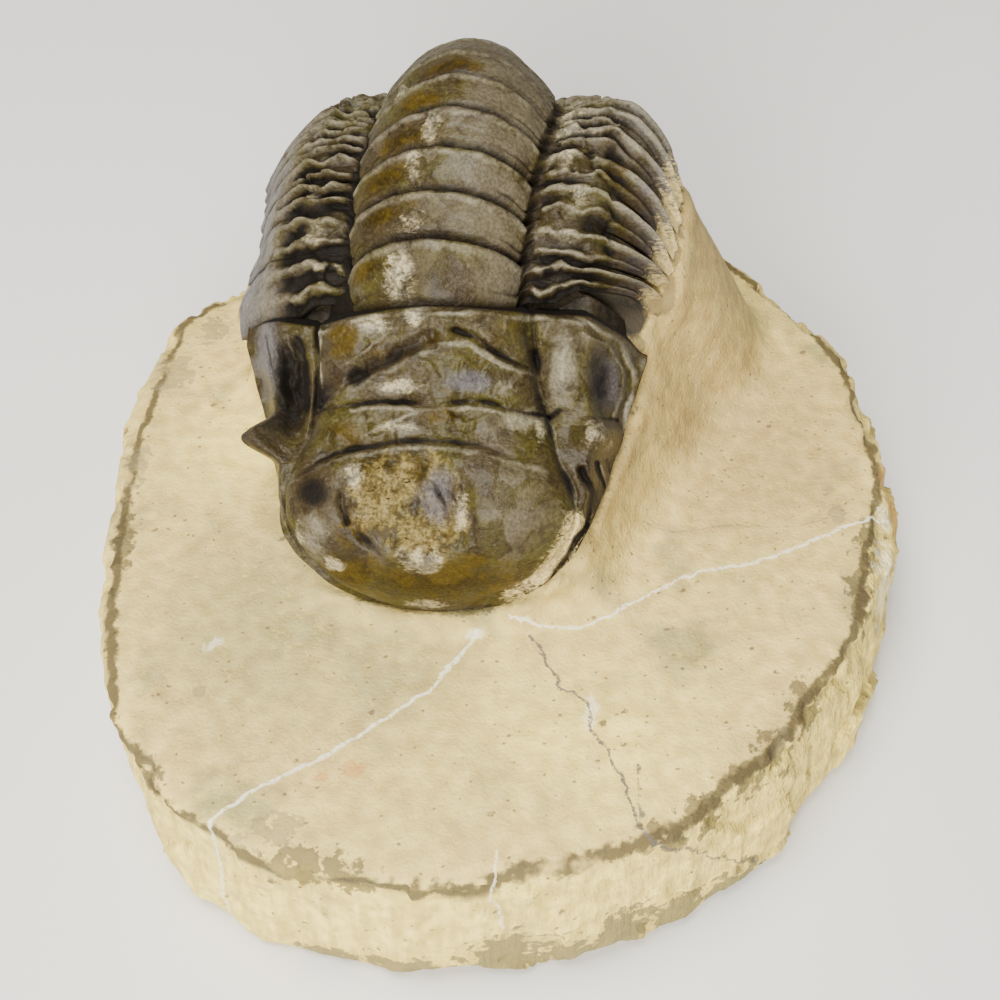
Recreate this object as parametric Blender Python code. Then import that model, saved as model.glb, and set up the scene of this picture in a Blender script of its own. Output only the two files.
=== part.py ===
"""A Crotalocephalus trilobite arched over the limestone disc that it was prepared on.

The head faces -Y and slopes down to the stone, the thorax arches up and over to +Y,
and the tail shield comes down behind. Z = 0 is the flat underside of the stone.
Lengths are written in millimetres and turned into metres when a mesh is finished.
"""

import math

import bmesh
import bpy
from mathutils import Matrix, Vector, noise

MM = 0.001
FOSSIL_COLOUR = (0.165, 0.14, 0.1)
FOSSIL_ROUGHNESS = 0.35
ROCK_COLOUR = (0.62, 0.54, 0.37)
ROCK_ROUGHNESS = 0.85

# Stone: the hand-trimmed disc
STONE_HEIGHT = 16.0
STONE_HALF_WIDTH = 31.0
STONE_RIM = (
    (-31.0, -6.0), (-29.4, -17.0), (-24.8, -25.4), (-17.0, -30.6), (-6.3, -32.9), (5.3, -31.6),
    (13.5, -28.2), (20.2, -22.8), (26.6, -14.6), (30.4, -5.0), (31.0, 5.0), (29.7, 14.5),
    (25.0, 22.6), (19.0, 29.0), (10.0, 33.9), (-3.0, 35.8), (-14.5, 31.2), (-22.6, 24.4),
    (-28.2, 19.6), (-31.0, 8.0),
)
SIDE_FLARE = 1.1
RIGHT_FLARE = 0.7
FOOT_BEVEL = 1.4
RIM_BEVEL = 1.1
SIDE_LEVELS = ((-2.0, 0.0, -FOOT_BEVEL), (1.2, 1.0, 0.0), (6.0, 1.0, 0.0), (11.5, 0.5, 0.0),
               (STONE_HEIGHT - 1.0, 0.0, 0.0), (STONE_HEIGHT, 0.0, -RIM_BEVEL))
TOP_LEVEL = 13.0
BACK_DROP = 1.6
BACK_REACH = 34.0
CHIP_DEPTH = 0.7
CHIP_SCALE = 0.2

# Back line of the fossil: arc length from the rear edge of the head, and the angle there
BACK_STEP = 0.2
HEAD_REAR = Vector((-5.1, 4.0, 34.6))
SLOPE = ((0.0, 38.0), (7.2, 24.0), (14.4, 6.0), (20.0, -12.0), (26.0, -34.0), (31.0, -52.0),
         (36.0, -68.0), (40.0, -80.0), (52.0, -93.0))
TURN = ((0.0, 0.0), (6.0, 7.0), (52.0, 7.0))
LEAN = ((0.0, 6.0), (12.0, 9.0), (22.0, 7.0), (30.0, 3.0), (52.0, 0.0))

# Thorax
SEGMENTS = 11
RING_PITCH = 3.6
GAP = 0.4
SHELL = 1.6
TIP_SHELL = 0.9
HALF_SECTION = (
    (0.0, 0.0), (3.1, -0.5), (5.3, -1.9), (6.5, -3.6), (8.9, -3.3), (11.4, -4.2), (13.7, -6.0),
    (15.7, -8.1), (17.2, -10.4),
)
AXIS = 3
FULCRUM = 5
TIP_NARROWING = 0.38
TIP_SWEEP = 1.6
TAPER_START = 20.0
TAPER_RUN = 26.0
REAR_WIDTH = 0.6
SEGMENT_ROWS = 3

# Head, in its own frame: x across, y forward from its rear edge, z out of its surface
HEAD_LENGTH = 23.4
HEAD_OUTLINE = (
    (0.0, 15.4), (0.12, 15.5), (0.3, 14.6), (0.45, 13.6), (0.6, 12.6), (0.72, 11.6), (0.82, 10.3),
    (0.91, 8.0), (0.97, 5.2), (1.0, 2.6),
)
GLABELLA = ((0.0, 6.9), (0.16, 8.0), (0.42, 8.7), (0.52, 10.2), (0.65, 11.1), (0.76, 10.7),
            (0.86, 9.1), (0.93, 7.0), (1.0, 2.6))
CROWN = ((0.0, -0.2), (0.2, 0.4), (0.42, 0.5), (0.55, 2.0), (0.68, 2.2), (0.8, 1.1), (0.9, -1.1),
         (0.96, -3.0), (1.0, -4.9))
REAR_CURVE = 2.4
GLABELLA_RELIEF = 3.0
CHEEK_BEND = 11.2
CHEEK_FALL = 5.2
CHEEK_MARGIN = 1.2
REAR_FURROW = (0.9, 1.3, 0.7)
# Each furrow of the glabella: place on the midline, slant, bend, width and depth
HEAD_FURROWS = ((2.3, 0.0, 0.0, 0.8, 0.55), (3.4, 0.42, 0.0, 0.8, 0.6), (7.7, 0.02, 0.0, 0.75, 0.55),
                (10.6, 0.0, 0.03, 0.85, 0.65))
EYE_PLACE = Vector((12.3, 10.3))
EYE_RADIUS = 2.1
EYE_LENGTH = 2.8
EYE_AIM = Vector((0.75, 0.0, 0.66))
HEAD_SHELL = 2.2
HEAD_GRID = (22, 18)

# Tail shield
TAIL_LENGTH = 5.2
TAIL_SPINES = ((6.9, 0.45, 5.6), (4.7, 0.78, 4.9), (1.7, 0.9, 4.2))
TAIL_ROWS = 5
SPINE_RADIUS = 1.0
SPINE_TIP = 0.25
SPINE_ROOT = 1.6
SPINE_DEPTH = 0.8
SPINE_SPREAD = 0.075
SPINE_LIFT = 0.34

# Rock left standing in and beside the arch
ROCK_FLOOR = 9.0
SHOULDER_SEGMENTS = 8
SHOULDER_FOOT = 6.6
CLEARANCE = 0.4
NORMAL_ALLOWANCE = 1.2
CUTTER_ROWS = 14
CUTTER_SPREAD = 1.12
CUTTER_RISE = 2.5
CUTTER_EDGE = 1.04
CUTTER_OVERRUN = 0.4
VOXEL = 0.93
SOFTENING = 4
ROCK_DETAIL = 0.058
WELD = 0.003


def clear_scene():
    for thing in list(bpy.data.objects):
        bpy.data.objects.remove(thing)


def smooth_step(value):
    value = min(1.0, max(0.0, value))
    return value * value * (3.0 - 2.0 * value)


def along_keys(keys, place):
    """Value at a place, in proportion between the neighbouring keys."""
    if place <= keys[0][0]:
        return keys[0][1]
    for (start, first), (end, second) in zip(keys, keys[1:]):
        if place <= end:
            share = (place - start) / (end - start)
            return first + (second - first) * share
    return keys[-1][1]


def turned_frame(slope, turn, lean):
    """Axes across, along the back towards the tail, and out of the back."""
    slope, turn, lean = (math.radians(angle) for angle in (slope, turn, lean))
    along = Vector((math.sin(turn) * math.cos(slope), math.cos(turn) * math.cos(slope), math.sin(slope)))
    level = Vector((math.cos(turn), -math.sin(turn), 0.0))
    up = level.cross(along)
    across = level * math.cos(lean) + up * math.sin(lean)
    out = up * math.cos(lean) - level * math.sin(lean)
    return across, along, out


def back_line():
    """Frames along the back, one every BACK_STEP of arc length."""
    frames = []
    place = HEAD_REAR.copy()
    for index in range(int(SLOPE[-1][0] / BACK_STEP) + 1):
        arc = index * BACK_STEP
        frame = turned_frame(along_keys(SLOPE, arc), along_keys(TURN, arc), along_keys(LEAN, arc))
        frames.append((place.copy(), frame))
        place += frame[1] * BACK_STEP
    return frames


BACK = back_line()


def back_point(arc, across, height):
    """World point for a distance along the back, a distance across it and a height over it."""
    index = min(len(BACK) - 2, max(0, int(arc / BACK_STEP)))
    share = arc / BACK_STEP - index
    (near, near_axes), (far, far_axes) = BACK[index], BACK[index + 1]
    axes = [first.lerp(second, share) for first, second in zip(near_axes, far_axes)]
    return near.lerp(far, share) + axes[0] * across + axes[2] * height


HEAD_AXES = turned_frame(SLOPE[0][1], TURN[0][1], LEAN[0][1])


def head_point(across, forward, height):
    return HEAD_REAR + HEAD_AXES[0] * across - HEAD_AXES[1] * forward + HEAD_AXES[2] * height


def slab(columns, rows):
    """A grid with thickness: x runs 0 to columns, y runs 0 to rows, z is 0 on top and -1 below."""
    mesh = bmesh.new()
    bmesh.ops.create_grid(mesh, x_segments=columns, y_segments=rows, size=0.5)
    bmesh.ops.translate(mesh, vec=(0.5, 0.5, 0.0), verts=mesh.verts)
    bmesh.ops.scale(mesh, vec=(columns, rows, 1.0), verts=mesh.verts)
    lower = bmesh.ops.extrude_face_region(mesh, geom=mesh.faces[:])
    moved = [item for item in lower["geom"] if isinstance(item, bmesh.types.BMVert)]
    bmesh.ops.translate(mesh, vec=(0.0, 0.0, -1.0), verts=moved)
    return mesh


def finished(mesh, name, colour, roughness, scale=MM):
    """Close a mesh's normals, scale it to metres and make it a named object."""
    bmesh.ops.scale(mesh, vec=(scale, scale, scale), verts=mesh.verts)
    bmesh.ops.recalc_face_normals(mesh, faces=mesh.faces)
    data = bpy.data.meshes.new(name)
    mesh.to_mesh(data)
    mesh.free()
    thing = bpy.data.objects.new(name, data)
    bpy.context.collection.objects.link(thing)
    surface = bpy.data.materials.new(name)
    surface.use_nodes = True
    shader = surface.node_tree.nodes["Principled BSDF"]
    shader.inputs["Base Color"].default_value = (*colour, 1.0)
    shader.inputs["Roughness"].default_value = roughness
    shader.inputs["Metallic"].default_value = 0.0
    data.materials.append(surface)
    return thing


def as_guide(thing):
    thing.hide_render = True
    thing.display_type = "WIRE"
    return thing


def section_point(column):
    """Point of the body's cross-section at a column, with its outward direction."""
    side = 1.0 if column >= 0.0 else -1.0
    column = abs(column)
    index = min(len(HALF_SECTION) - 2, int(column))
    share = column - index
    here = Vector(HALF_SECTION[index]).lerp(Vector(HALF_SECTION[index + 1]), share)
    before = Vector(HALF_SECTION[max(0, index - (share == 0.0))])
    run = Vector(HALF_SECTION[index + 1]) - before
    out = Vector((-run.y, run.x)).normalized()
    if column == 0.0:
        out = Vector((0.0, 1.0))
    return Vector((here.x * side, here.y)), Vector((out.x * side, out.y))


def body_width(arc):
    """The thorax narrows to the tail."""
    rear = smooth_step((arc - TAPER_START) / TAPER_RUN)
    return 1.0 - (1.0 - REAR_WIDTH) * rear


def body_arch(arc):
    """The section flattens as it narrows."""
    return 0.45 + 0.55 * body_width(arc)


def shell_depth(column):
    tip = max(0.0, abs(column) - FULCRUM) / (len(HALF_SECTION) - 1 - FULCRUM)
    return SHELL + (TIP_SHELL - SHELL) * min(1.0, tip)


def segment_relief(column, share):
    """Height over the section: a low front half-ring, a furrow, then the raised band."""
    band = smooth_step((share - 0.3) / 0.25) - 0.6 * smooth_step((share - 0.85) / 0.15)
    if abs(column) < AXIS:
        return 0.95 * band - 0.75
    if abs(column) < FULCRUM:
        return 0.5 * band - 0.45
    return 0.35 * math.sin(math.pi * share) - 0.25


def body_vertex(start, end, column, share, depth, narrowing=1.0):
    """Map a slab's column, share of the length and depth onto the body."""
    tip = max(0.0, abs(column) - FULCRUM) / (len(HALF_SECTION) - 1 - FULCRUM)
    width = 1.0 - TIP_NARROWING * narrowing * min(1.0, tip)
    sweep = TIP_SWEEP * narrowing * tip * tip
    arc = start + (end - start) * (0.5 + (share - 0.5) * width) - sweep
    point, out = section_point(column)
    point = point - out * depth
    return back_point(arc, point.x * body_width(arc), point.y * body_arch(arc))


def thorax_segment(number):
    columns = 2 * (len(HALF_SECTION) - 1)
    mesh = slab(columns, SEGMENT_ROWS)
    start = number * RING_PITCH + GAP / 2
    end = (number + 1) * RING_PITCH - GAP / 2
    for vertex in mesh.verts:
        column = vertex.co.x - columns / 2
        share = vertex.co.y / SEGMENT_ROWS
        relief = segment_relief(column, share)
        depth = -relief if vertex.co.z > -0.5 else shell_depth(column)
        vertex.co = body_vertex(start, end, column, share, depth)
    return finished(mesh, f"thorax_segment_{number + 1:02d}", FOSSIL_COLOUR, FOSSIL_ROUGHNESS)


def furrow(place, centre, width):
    """A groove's depth, from 1 on its line to 0 at its edges."""
    return 1.0 - smooth_step(abs(place - centre) / width)


def head_height(across, share, relief=1.0):
    """Height of the head's surface over its frame; relief 0 gives the plain dome below it."""
    side = abs(across)
    forward = share * HEAD_LENGTH
    crown = along_keys(CROWN, share)
    half = along_keys(GLABELLA, share)
    drop = GLABELLA_RELIEF * (1.0 - 0.75 * smooth_step((share - 0.78) / 0.22))
    edge = along_keys(HEAD_OUTLINE, share)
    bend = min(CHEEK_BEND, edge - CHEEK_MARGIN)
    fall = smooth_step((side - bend) / (edge - bend)) * smooth_step((edge - CHEEK_BEND) / 1.6)
    if relief == 0.0:
        return crown - drop * smooth_step(side / (half + 0.8)) - CHEEK_FALL * fall
    if side > half:
        place, width, rise = REAR_FURROW
        return crown - drop - 0.3 - CHEEK_FALL * fall + rise * furrow(forward, place, width)
    height = crown - drop * (1.0 - max(0.0, 1.0 - (side / half) ** 2) ** 0.5)
    for place, slant, curve, width, depth in HEAD_FURROWS:
        height -= depth * furrow(forward, place + slant * side + curve * side * side, width)
    return height


def head_surface(column, share, relief):
    """Point on the head for a column from -1 to 1 and a share of its length."""
    side = math.copysign(1.0, column)
    across = along_keys(HEAD_OUTLINE, share) * abs(column) ** 0.9
    forward = GAP / 2 + share * (HEAD_LENGTH - GAP / 2)
    forward += REAR_CURVE * (1.0 - share) ** 3 * max(0.0, (across - 8.0) / 7.0) ** 2
    height = head_height(across, forward / HEAD_LENGTH, relief)
    eye = (Vector((across, forward)) - EYE_PLACE).length / EYE_RADIUS
    push = EYE_AIM * relief * EYE_LENGTH * (1.0 - smooth_step(eye))
    return Vector((side * (across + push.x), forward, height + push.z))


def head_normal(column, share):
    """Outward direction of the head's plain form."""
    step = 0.05
    low, high = max(-1.0, column - step), min(1.0, column + step)
    rear, front = max(0.0, share - step), min(1.0, share + step)
    run_across = head_surface(high, share, 0.0) - head_surface(low, share, 0.0)
    run_forward = head_surface(column, front, 0.0) - head_surface(column, rear, 0.0)
    return run_across.cross(run_forward).normalized()


def head_shell(name):
    """The head's shell, whose edges are thinner; its inner side has no relief."""
    columns, rows = HEAD_GRID
    mesh = slab(columns, rows)
    for vertex in mesh.verts:
        column = vertex.co.x / columns * 2.0 - 1.0
        share = vertex.co.y / rows
        if vertex.co.z > -0.5:
            place = head_surface(column, share, 1.0)
        else:
            depth = HEAD_SHELL * (1.0 - 0.5 * max(abs(column), share) ** 6)
            place = head_surface(column, share, 0.0)
            place -= Vector((0.0, 0.0, 1.0)).lerp(head_normal(column, share), 0.5) * depth
        vertex.co = head_point(*place)
    return finished(mesh, name, FOSSIL_COLOUR, FOSSIL_ROUGHNESS)


def swollen(thing):
    """Push a guide's surface out by the clearance, so that it cuts a space round the piece."""
    mesh = bmesh.new()
    mesh.from_mesh(thing.data)
    mesh.normal_update()
    for vertex in mesh.verts:
        vertex.co += vertex.normal * CLEARANCE * NORMAL_ALLOWANCE * MM
    mesh.to_mesh(thing.data)
    mesh.free()
    return as_guide(thing)


def tail_point(column, share, depth):
    """Point of the tail shield, which narrows and flattens to its end."""
    arc = SEGMENTS * RING_PITCH + GAP / 2 + TAIL_LENGTH * share
    point, out = section_point(column)
    point = point - out * depth
    taper = (1.0 - 0.62 * share ** 2) * body_width(SEGMENTS * RING_PITCH)
    return back_point(arc, point.x * taper, point.y * (0.66 - 0.34 * share))


def tail_spine(column, share, length, grow=0.0):
    """One tapered marginal spine, running on from the shield and away from the rock."""
    base = tail_point(column, share, SPINE_DEPTH)
    middle = tail_point(0.0, share, SPINE_DEPTH)
    backwards = (tail_point(0.0, 1.0, 0.0) - tail_point(0.0, 0.8, 0.0)).normalized()
    outwards = (tail_point(0.0, 1.0, 0.0) - tail_point(0.0, 1.0, 1.0)).normalized()
    aim = (backwards + (base - middle) * SPINE_SPREAD + outwards * SPINE_LIFT).normalized()
    mesh = bmesh.new()
    bmesh.ops.create_cone(mesh, segments=7, radius1=SPINE_RADIUS + grow, radius2=SPINE_TIP + grow,
                          depth=length + SPINE_ROOT + 2.0 * grow, cap_ends=True)
    turn = aim.to_track_quat("Z", "Y").to_matrix().to_4x4()
    centre = base + aim * (length - SPINE_ROOT) * 0.5
    bmesh.ops.transform(mesh, matrix=Matrix.Translation(centre) @ turn, verts=mesh.verts)
    return as_guide(finished(mesh, "spine", FOSSIL_COLOUR, FOSSIL_ROUGHNESS))


def tail_shell(name):
    """The shield without its spines; its rings fade out towards its end."""
    columns = 2 * (len(HALF_SECTION) - 1)
    mesh = slab(columns, TAIL_ROWS)
    for vertex in mesh.verts:
        column = vertex.co.x - columns / 2
        share = vertex.co.y / TAIL_ROWS
        relief = 0.4 * math.cos(2.0 * math.pi * 2.5 * share) * (1.0 - share) - 0.3
        depth = -relief if vertex.co.z > -0.5 else shell_depth(column)
        vertex.co = tail_point(column, share, depth)
    return finished(mesh, name, FOSSIL_COLOUR, FOSSIL_ROUGHNESS)


def pygidium():
    shield = tail_shell("pygidium")
    for column, share, length in TAIL_SPINES:
        for side in (-1.0, 1.0):
            join = shield.modifiers.new("spine", "BOOLEAN")
            join.operation = "UNION"
            join.solver = "EXACT"
            join.object = tail_spine(column * side, share, length)
    return shield


def tail_spaces():
    """Cutters for the room round the shield and round each of its spines."""
    spaces = [swollen(tail_shell("tail_space"))]
    for column, share, length in TAIL_SPINES:
        for side in (-1.0, 1.0):
            spaces.append(tail_spine(column * side, share, length, CLEARANCE * NORMAL_ALLOWANCE))
    return spaces


def body_cutter():
    """The rock's clearance under the thorax, as one solid that reaches out past the segments."""
    last = len(HALF_SECTION) - 1
    mesh = slab(2 * last, CUTTER_ROWS)
    for vertex in mesh.verts:
        column = vertex.co.x - last
        if abs(column) == last:
            column *= CUTTER_EDGE
        arc = (SEGMENTS * RING_PITCH + 2.0 * CUTTER_OVERRUN) * vertex.co.y / CUTTER_ROWS
        arc -= CUTTER_OVERRUN
        point, out = section_point(column)
        if vertex.co.z < -0.5:
            point = point - out * (shell_depth(column) + CLEARANCE)
        else:
            point = Vector((point.x * CUTTER_SPREAD, point.y + CUTTER_RISE))
        arc -= TIP_SWEEP * max(0.0, (abs(column) - FULCRUM) / (last - FULCRUM)) ** 2
        vertex.co = back_point(arc, point.x * body_width(arc), point.y * body_arch(arc))
    return as_guide(finished(mesh, "body_cutter", ROCK_COLOUR, ROCK_ROUGHNESS))


def hull(points):
    mesh = bmesh.new()
    for point in points:
        mesh.verts.new(point)
    bmesh.ops.convex_hull(mesh, input=mesh.verts)
    loose = [vertex for vertex in mesh.verts if not vertex.link_faces]
    bmesh.ops.delete(mesh, geom=loose, context="VERTS")
    return mesh


def add_to(mesh, other):
    data = bpy.data.meshes.new("rock piece")
    other.to_mesh(data)
    other.free()
    mesh.from_mesh(data)
    bpy.data.meshes.remove(data)


def under(point):
    return Vector((point.x, point.y, ROCK_FLOOR))


def rock_under_thorax(mesh):
    """One block of rock under each segment, from its inner face down into the disc."""
    last = len(HALF_SECTION) - 1
    for number in range(SEGMENTS):
        start = number * RING_PITCH - 0.6
        end = min(start + RING_PITCH + 1.2, SEGMENTS * RING_PITCH - 0.3)
        top = []
        for column in (-last, -FULCRUM, -AXIS, 0, AXIS, FULCRUM, last):
            for share in (0.0, 1.0):
                top.append(body_vertex(start, end, column, share, shell_depth(column) * 0.6, 0.0))
        add_to(mesh, hull(top + [under(point) for point in top]))


def rock_under_tail(mesh):
    last = len(HALF_SECTION) - 1
    top = []
    for column in (-last, -FULCRUM, -AXIS, 0, AXIS, FULCRUM, last):
        for share in (-0.2, 0.3, 0.75):
            top.append(tail_point(column * 0.95, share, shell_depth(column) * 1.3))
    add_to(mesh, hull(top + [under(point) - Vector((0.0, 1.5, 0.0)) for point in top]))


def rock_under_head(mesh):
    top = []
    for share in (0.0, 0.3, 0.6, 0.85, 0.97):
        for column in (-0.96, -0.7, 0.0, 0.7, 0.96):
            place = head_surface(column, share, 0.0) - head_normal(column, share) * HEAD_SHELL * 0.5
            top.append(head_point(*place))
    for near, far in ((0, 10), (5, 15), (10, 20), (15, 25)):
        points = top[near:far]
        add_to(mesh, hull(points + [under(point) for point in points]))


def shoulder_block(mesh, edge):
    """Rock sloping from a stretch of the fossil's right edge out and down to the disc."""
    points = []
    for tip in edge:
        drop = max(0.5, tip.z - STONE_HEIGHT)
        points += [tip, tip + Vector((-3.0, 0.0, -1.5)), under(tip + Vector((-6.0, 0.0, 0.0)))]
        points.append(tip + Vector((0.2 * drop, 0.0, -0.5 * drop)))
        points.append(under(tip + Vector((0.5 * drop, 0.0, 0.0))) + Vector((0.0, 0.0, SHOULDER_FOOT)))
    add_to(mesh, hull(points))


def right_shoulder(mesh):
    """The rock that climbs from the disc to the pleural tips and the cheek on the right side."""
    last = len(HALF_SECTION) - 1
    for number in range(SHOULDER_SEGMENTS):
        start = number * RING_PITCH
        end = start + RING_PITCH
        shoulder_block(mesh, [body_vertex(start, end, last, share, 0.7, 0.0) for share in (0.0, 1.0)])
    shares = (0.0, 0.2, 0.4, 0.6, 0.8, 0.92)
    border = [head_surface(1.0, share, 0.0) - Vector((0.0, 0.0, 1.3)) for share in shares]
    border = [body_vertex(0.0, 1.0, last, 0.0, 0.7, 0.0)] + [head_point(*place) for place in border]
    for edge in zip(border, border[1:]):
        shoulder_block(mesh, edge)


def disc(mesh):
    """The disc: a foot, a flared side and a rim, all from the rim's outline."""
    piece = bmesh.new()
    rings = []
    for level, flare, inset in SIDE_LEVELS:
        ring = []
        for x, y in STONE_RIM:
            reach = math.hypot(x, y)
            chip = CHIP_DEPTH * noise.noise(Vector((x, y, level)) * CHIP_SCALE)
            grow = flare * (SIDE_FLARE + RIGHT_FLARE * x / STONE_HALF_WIDTH + chip) + inset
            share = (reach + grow) / reach
            drop = BACK_DROP * smooth_step(y / BACK_REACH) if level > TOP_LEVEL else 0.0
            ring.append(piece.verts.new((x * share, y * share, level - drop)))
        rings.append(ring)
    for lower, upper in zip(rings, rings[1:]):
        for index, vertex in enumerate(lower):
            other = (index + 1) % len(lower)
            piece.faces.new((vertex, lower[other], upper[other], upper[index]))
    piece.faces.new(list(reversed(rings[0])))
    piece.faces.new(rings[-1])
    bmesh.ops.recalc_face_normals(piece, faces=piece.faces)
    add_to(mesh, piece)


def shaped(thing):
    """The mesh of an object with its modifiers, as a bmesh."""
    bpy.context.view_layer.update()
    seen = thing.evaluated_get(bpy.context.evaluated_depsgraph_get())
    mesh = bmesh.new()
    mesh.from_mesh(seen.to_mesh())
    seen.to_mesh_clear()
    return mesh


def rough_rock():
    """Disc and standing rock joined in one skin and smoothed, with a flat foot."""
    mesh = bmesh.new()
    disc(mesh)
    rock_under_thorax(mesh)
    rock_under_tail(mesh)
    rock_under_head(mesh)
    right_shoulder(mesh)
    blocks = as_guide(finished(mesh, "rock_blocks", ROCK_COLOUR, ROCK_ROUGHNESS))
    skin = blocks.modifiers.new("one skin", "REMESH")
    skin.mode = "VOXEL"
    skin.voxel_size = VOXEL * MM
    soften = blocks.modifiers.new("soften", "SMOOTH")
    soften.factor = 0.5
    soften.iterations = SOFTENING
    thin = blocks.modifiers.new("thin", "DECIMATE")
    thin.ratio = ROCK_DETAIL
    mesh = shaped(blocks)
    everything = mesh.verts[:] + mesh.edges[:] + mesh.faces[:]
    cut = bmesh.ops.bisect_plane(mesh, geom=everything, plane_co=(0, 0, 0), plane_no=(0, 0, -1),
                                 clear_outer=True)
    edges = [item for item in cut["geom_cut"] if isinstance(item, bmesh.types.BMEdge)]
    bmesh.ops.triangle_fill(mesh, edges=edges, use_beauty=True)
    return as_guide(finished(mesh, "rock_rough", ROCK_COLOUR, ROCK_ROUGHNESS, scale=1.0))


def matrix_rock(cutters):
    """The rock, cleared round the fossil."""
    rough = rough_rock()
    for cutter in cutters:
        clear = rough.modifiers.new("clear", "BOOLEAN")
        clear.operation = "DIFFERENCE"
        clear.solver = "EXACT"
        clear.object = cutter
    mesh = shaped(rough)
    bmesh.ops.triangulate(mesh, faces=mesh.faces)
    bmesh.ops.remove_doubles(mesh, verts=mesh.verts, dist=WELD * MM)
    bmesh.ops.dissolve_degenerate(mesh, dist=WELD * MM, edges=mesh.edges)
    return finished(mesh, "matrix", ROCK_COLOUR, ROCK_ROUGHNESS, scale=1.0)


def main():
    clear_scene()
    head_shell("cephalon")
    for number in range(SEGMENTS):
        thorax_segment(number)
    pygidium()
    head_space = swollen(head_shell("head_space"))
    matrix_rock([head_space, body_cutter()] + tail_spaces())


main()
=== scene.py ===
# %% [markdown]
# A trilobite on its stone
#
# The real object is a fossil, an arched Crotalocephalus, that a preparator has freed from a
# slab of limestone. The stone was trimmed by hand to a thick disc, and some rock was left
# standing inside the arch and on one side, to carry the thin shell. This lesson builds the look
# of it over a plain model that already has the right size: the script loads that model, makes
# one finished piece for each of its solids, and gives them procedural materials.

# %% Load the plain model and keep its box
import math

import bmesh
import bpy
import numpy as np
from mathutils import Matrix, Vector
from mathutils.bvhtree import BVHTree
from mathutils.kdtree import KDTree


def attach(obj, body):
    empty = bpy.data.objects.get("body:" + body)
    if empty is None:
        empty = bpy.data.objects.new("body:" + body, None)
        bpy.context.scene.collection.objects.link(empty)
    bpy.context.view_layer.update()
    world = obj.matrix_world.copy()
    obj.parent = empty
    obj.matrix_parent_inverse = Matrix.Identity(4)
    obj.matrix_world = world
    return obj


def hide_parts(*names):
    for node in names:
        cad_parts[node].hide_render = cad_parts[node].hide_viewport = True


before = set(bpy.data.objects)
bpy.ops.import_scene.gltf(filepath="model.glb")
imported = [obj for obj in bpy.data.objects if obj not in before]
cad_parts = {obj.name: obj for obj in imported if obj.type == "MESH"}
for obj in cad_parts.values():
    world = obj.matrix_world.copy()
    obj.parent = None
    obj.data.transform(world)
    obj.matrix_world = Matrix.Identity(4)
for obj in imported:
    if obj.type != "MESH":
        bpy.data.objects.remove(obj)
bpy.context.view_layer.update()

MM = 0.001

# %% [markdown]
# Numbers that change smoothly
#
# A fossil has no straight profile. Its widths and slopes are written as a few keys, and a soft
# curve is drawn through them. It could be a Bezier curve, but a short table that is averaged
# with its neighbours is easier to read, and it can be asked for thousands of places at once.

# %% Helpers for smooth numbers
def ease(value):
    """0 below 0, 1 above 1, with a soft start and end."""
    value = np.clip(value, 0.0, 1.0)
    return value * value * (3.0 - 2.0 * value)


def soft_curve(keys, reach):
    """A function through the keys whose corners are rounded over the given reach."""
    places = np.array([key[0] for key in keys], dtype=float)
    values = np.array([key[1] for key in keys], dtype=float)
    dense = np.linspace(places[0] - 2.0 * reach, places[-1] + 2.0 * reach, 1200)
    first = (values[1] - values[0]) / (places[1] - places[0])
    last = (values[-1] - values[-2]) / (places[-1] - places[-2])
    level = np.interp(dense, places, values)
    level += np.minimum(0.0, dense - places[0]) * first + np.maximum(0.0, dense - places[-1]) * last
    count = max(1, int(reach / (dense[1] - dense[0])))
    window = np.hanning(2 * count + 3)
    padded = np.pad(level, count + 1, mode="reflect", reflect_type="odd")
    rounded = np.convolve(padded, window / window.sum(), mode="valid")
    return lambda place: np.interp(place, dense, rounded)


def bell(distance, width):
    """1 at a distance of nothing, falling to 0 at the width."""
    return 1.0 - ease(np.abs(distance) / width)


# %% [markdown]
# Chance that never changes
#
# Weathered surfaces need irregular lumps at many sizes. Blender has noise in its shaders and one
# call for a single point. Here whole meshes are moved, so a small lattice noise is written for
# arrays: every whole-numbered cell always gives the same number, and the numbers are blended.

# %% Noise for arrays of points
def cell_value(cell, seed):
    """A number from -1 to 1 that belongs to a cell."""
    mixed = cell[:, 0] * 374761393 + cell[:, 1] * 668265263 + cell[:, 2] * 1103515245 + seed * 362437
    mixed = (mixed ^ (mixed >> 13)) * 1274126177
    return ((mixed ^ (mixed >> 16)) & 0xFFFF) / 32767.5 - 1.0


def lumps(points, size, seed):
    """Soft lumps of about one size, from -1 to 1."""
    place = points / size
    cell = np.floor(place).astype(np.int64)
    share = ease(place - cell)
    total = np.zeros(len(points))
    for corner in range(8):
        step = np.array([corner & 1, (corner >> 1) & 1, (corner >> 2) & 1])
        weight = np.prod(np.where(step == 1, share, 1.0 - share), axis=1)
        total += weight * cell_value(cell + step, seed)
    return total


def weathering(points, size, octaves, seed):
    """Lumps with smaller and smaller lumps on them."""
    total = np.zeros(len(points))
    for octave in range(octaves):
        total += 0.5 ** octave * lumps(points, size * 0.5 ** octave, seed + octave)
    return total / (2.0 - 0.5 ** (octaves - 1))


# %% [markdown]
# The back line
#
# The animal lies in an arch: its head slopes to the stone, the thorax goes over the top and the
# tail comes down behind. The plain model was laid out on one line with three angles, the slope,
# the turn and the lean. The same keys are used here, so every piece falls where its solid is.

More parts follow.
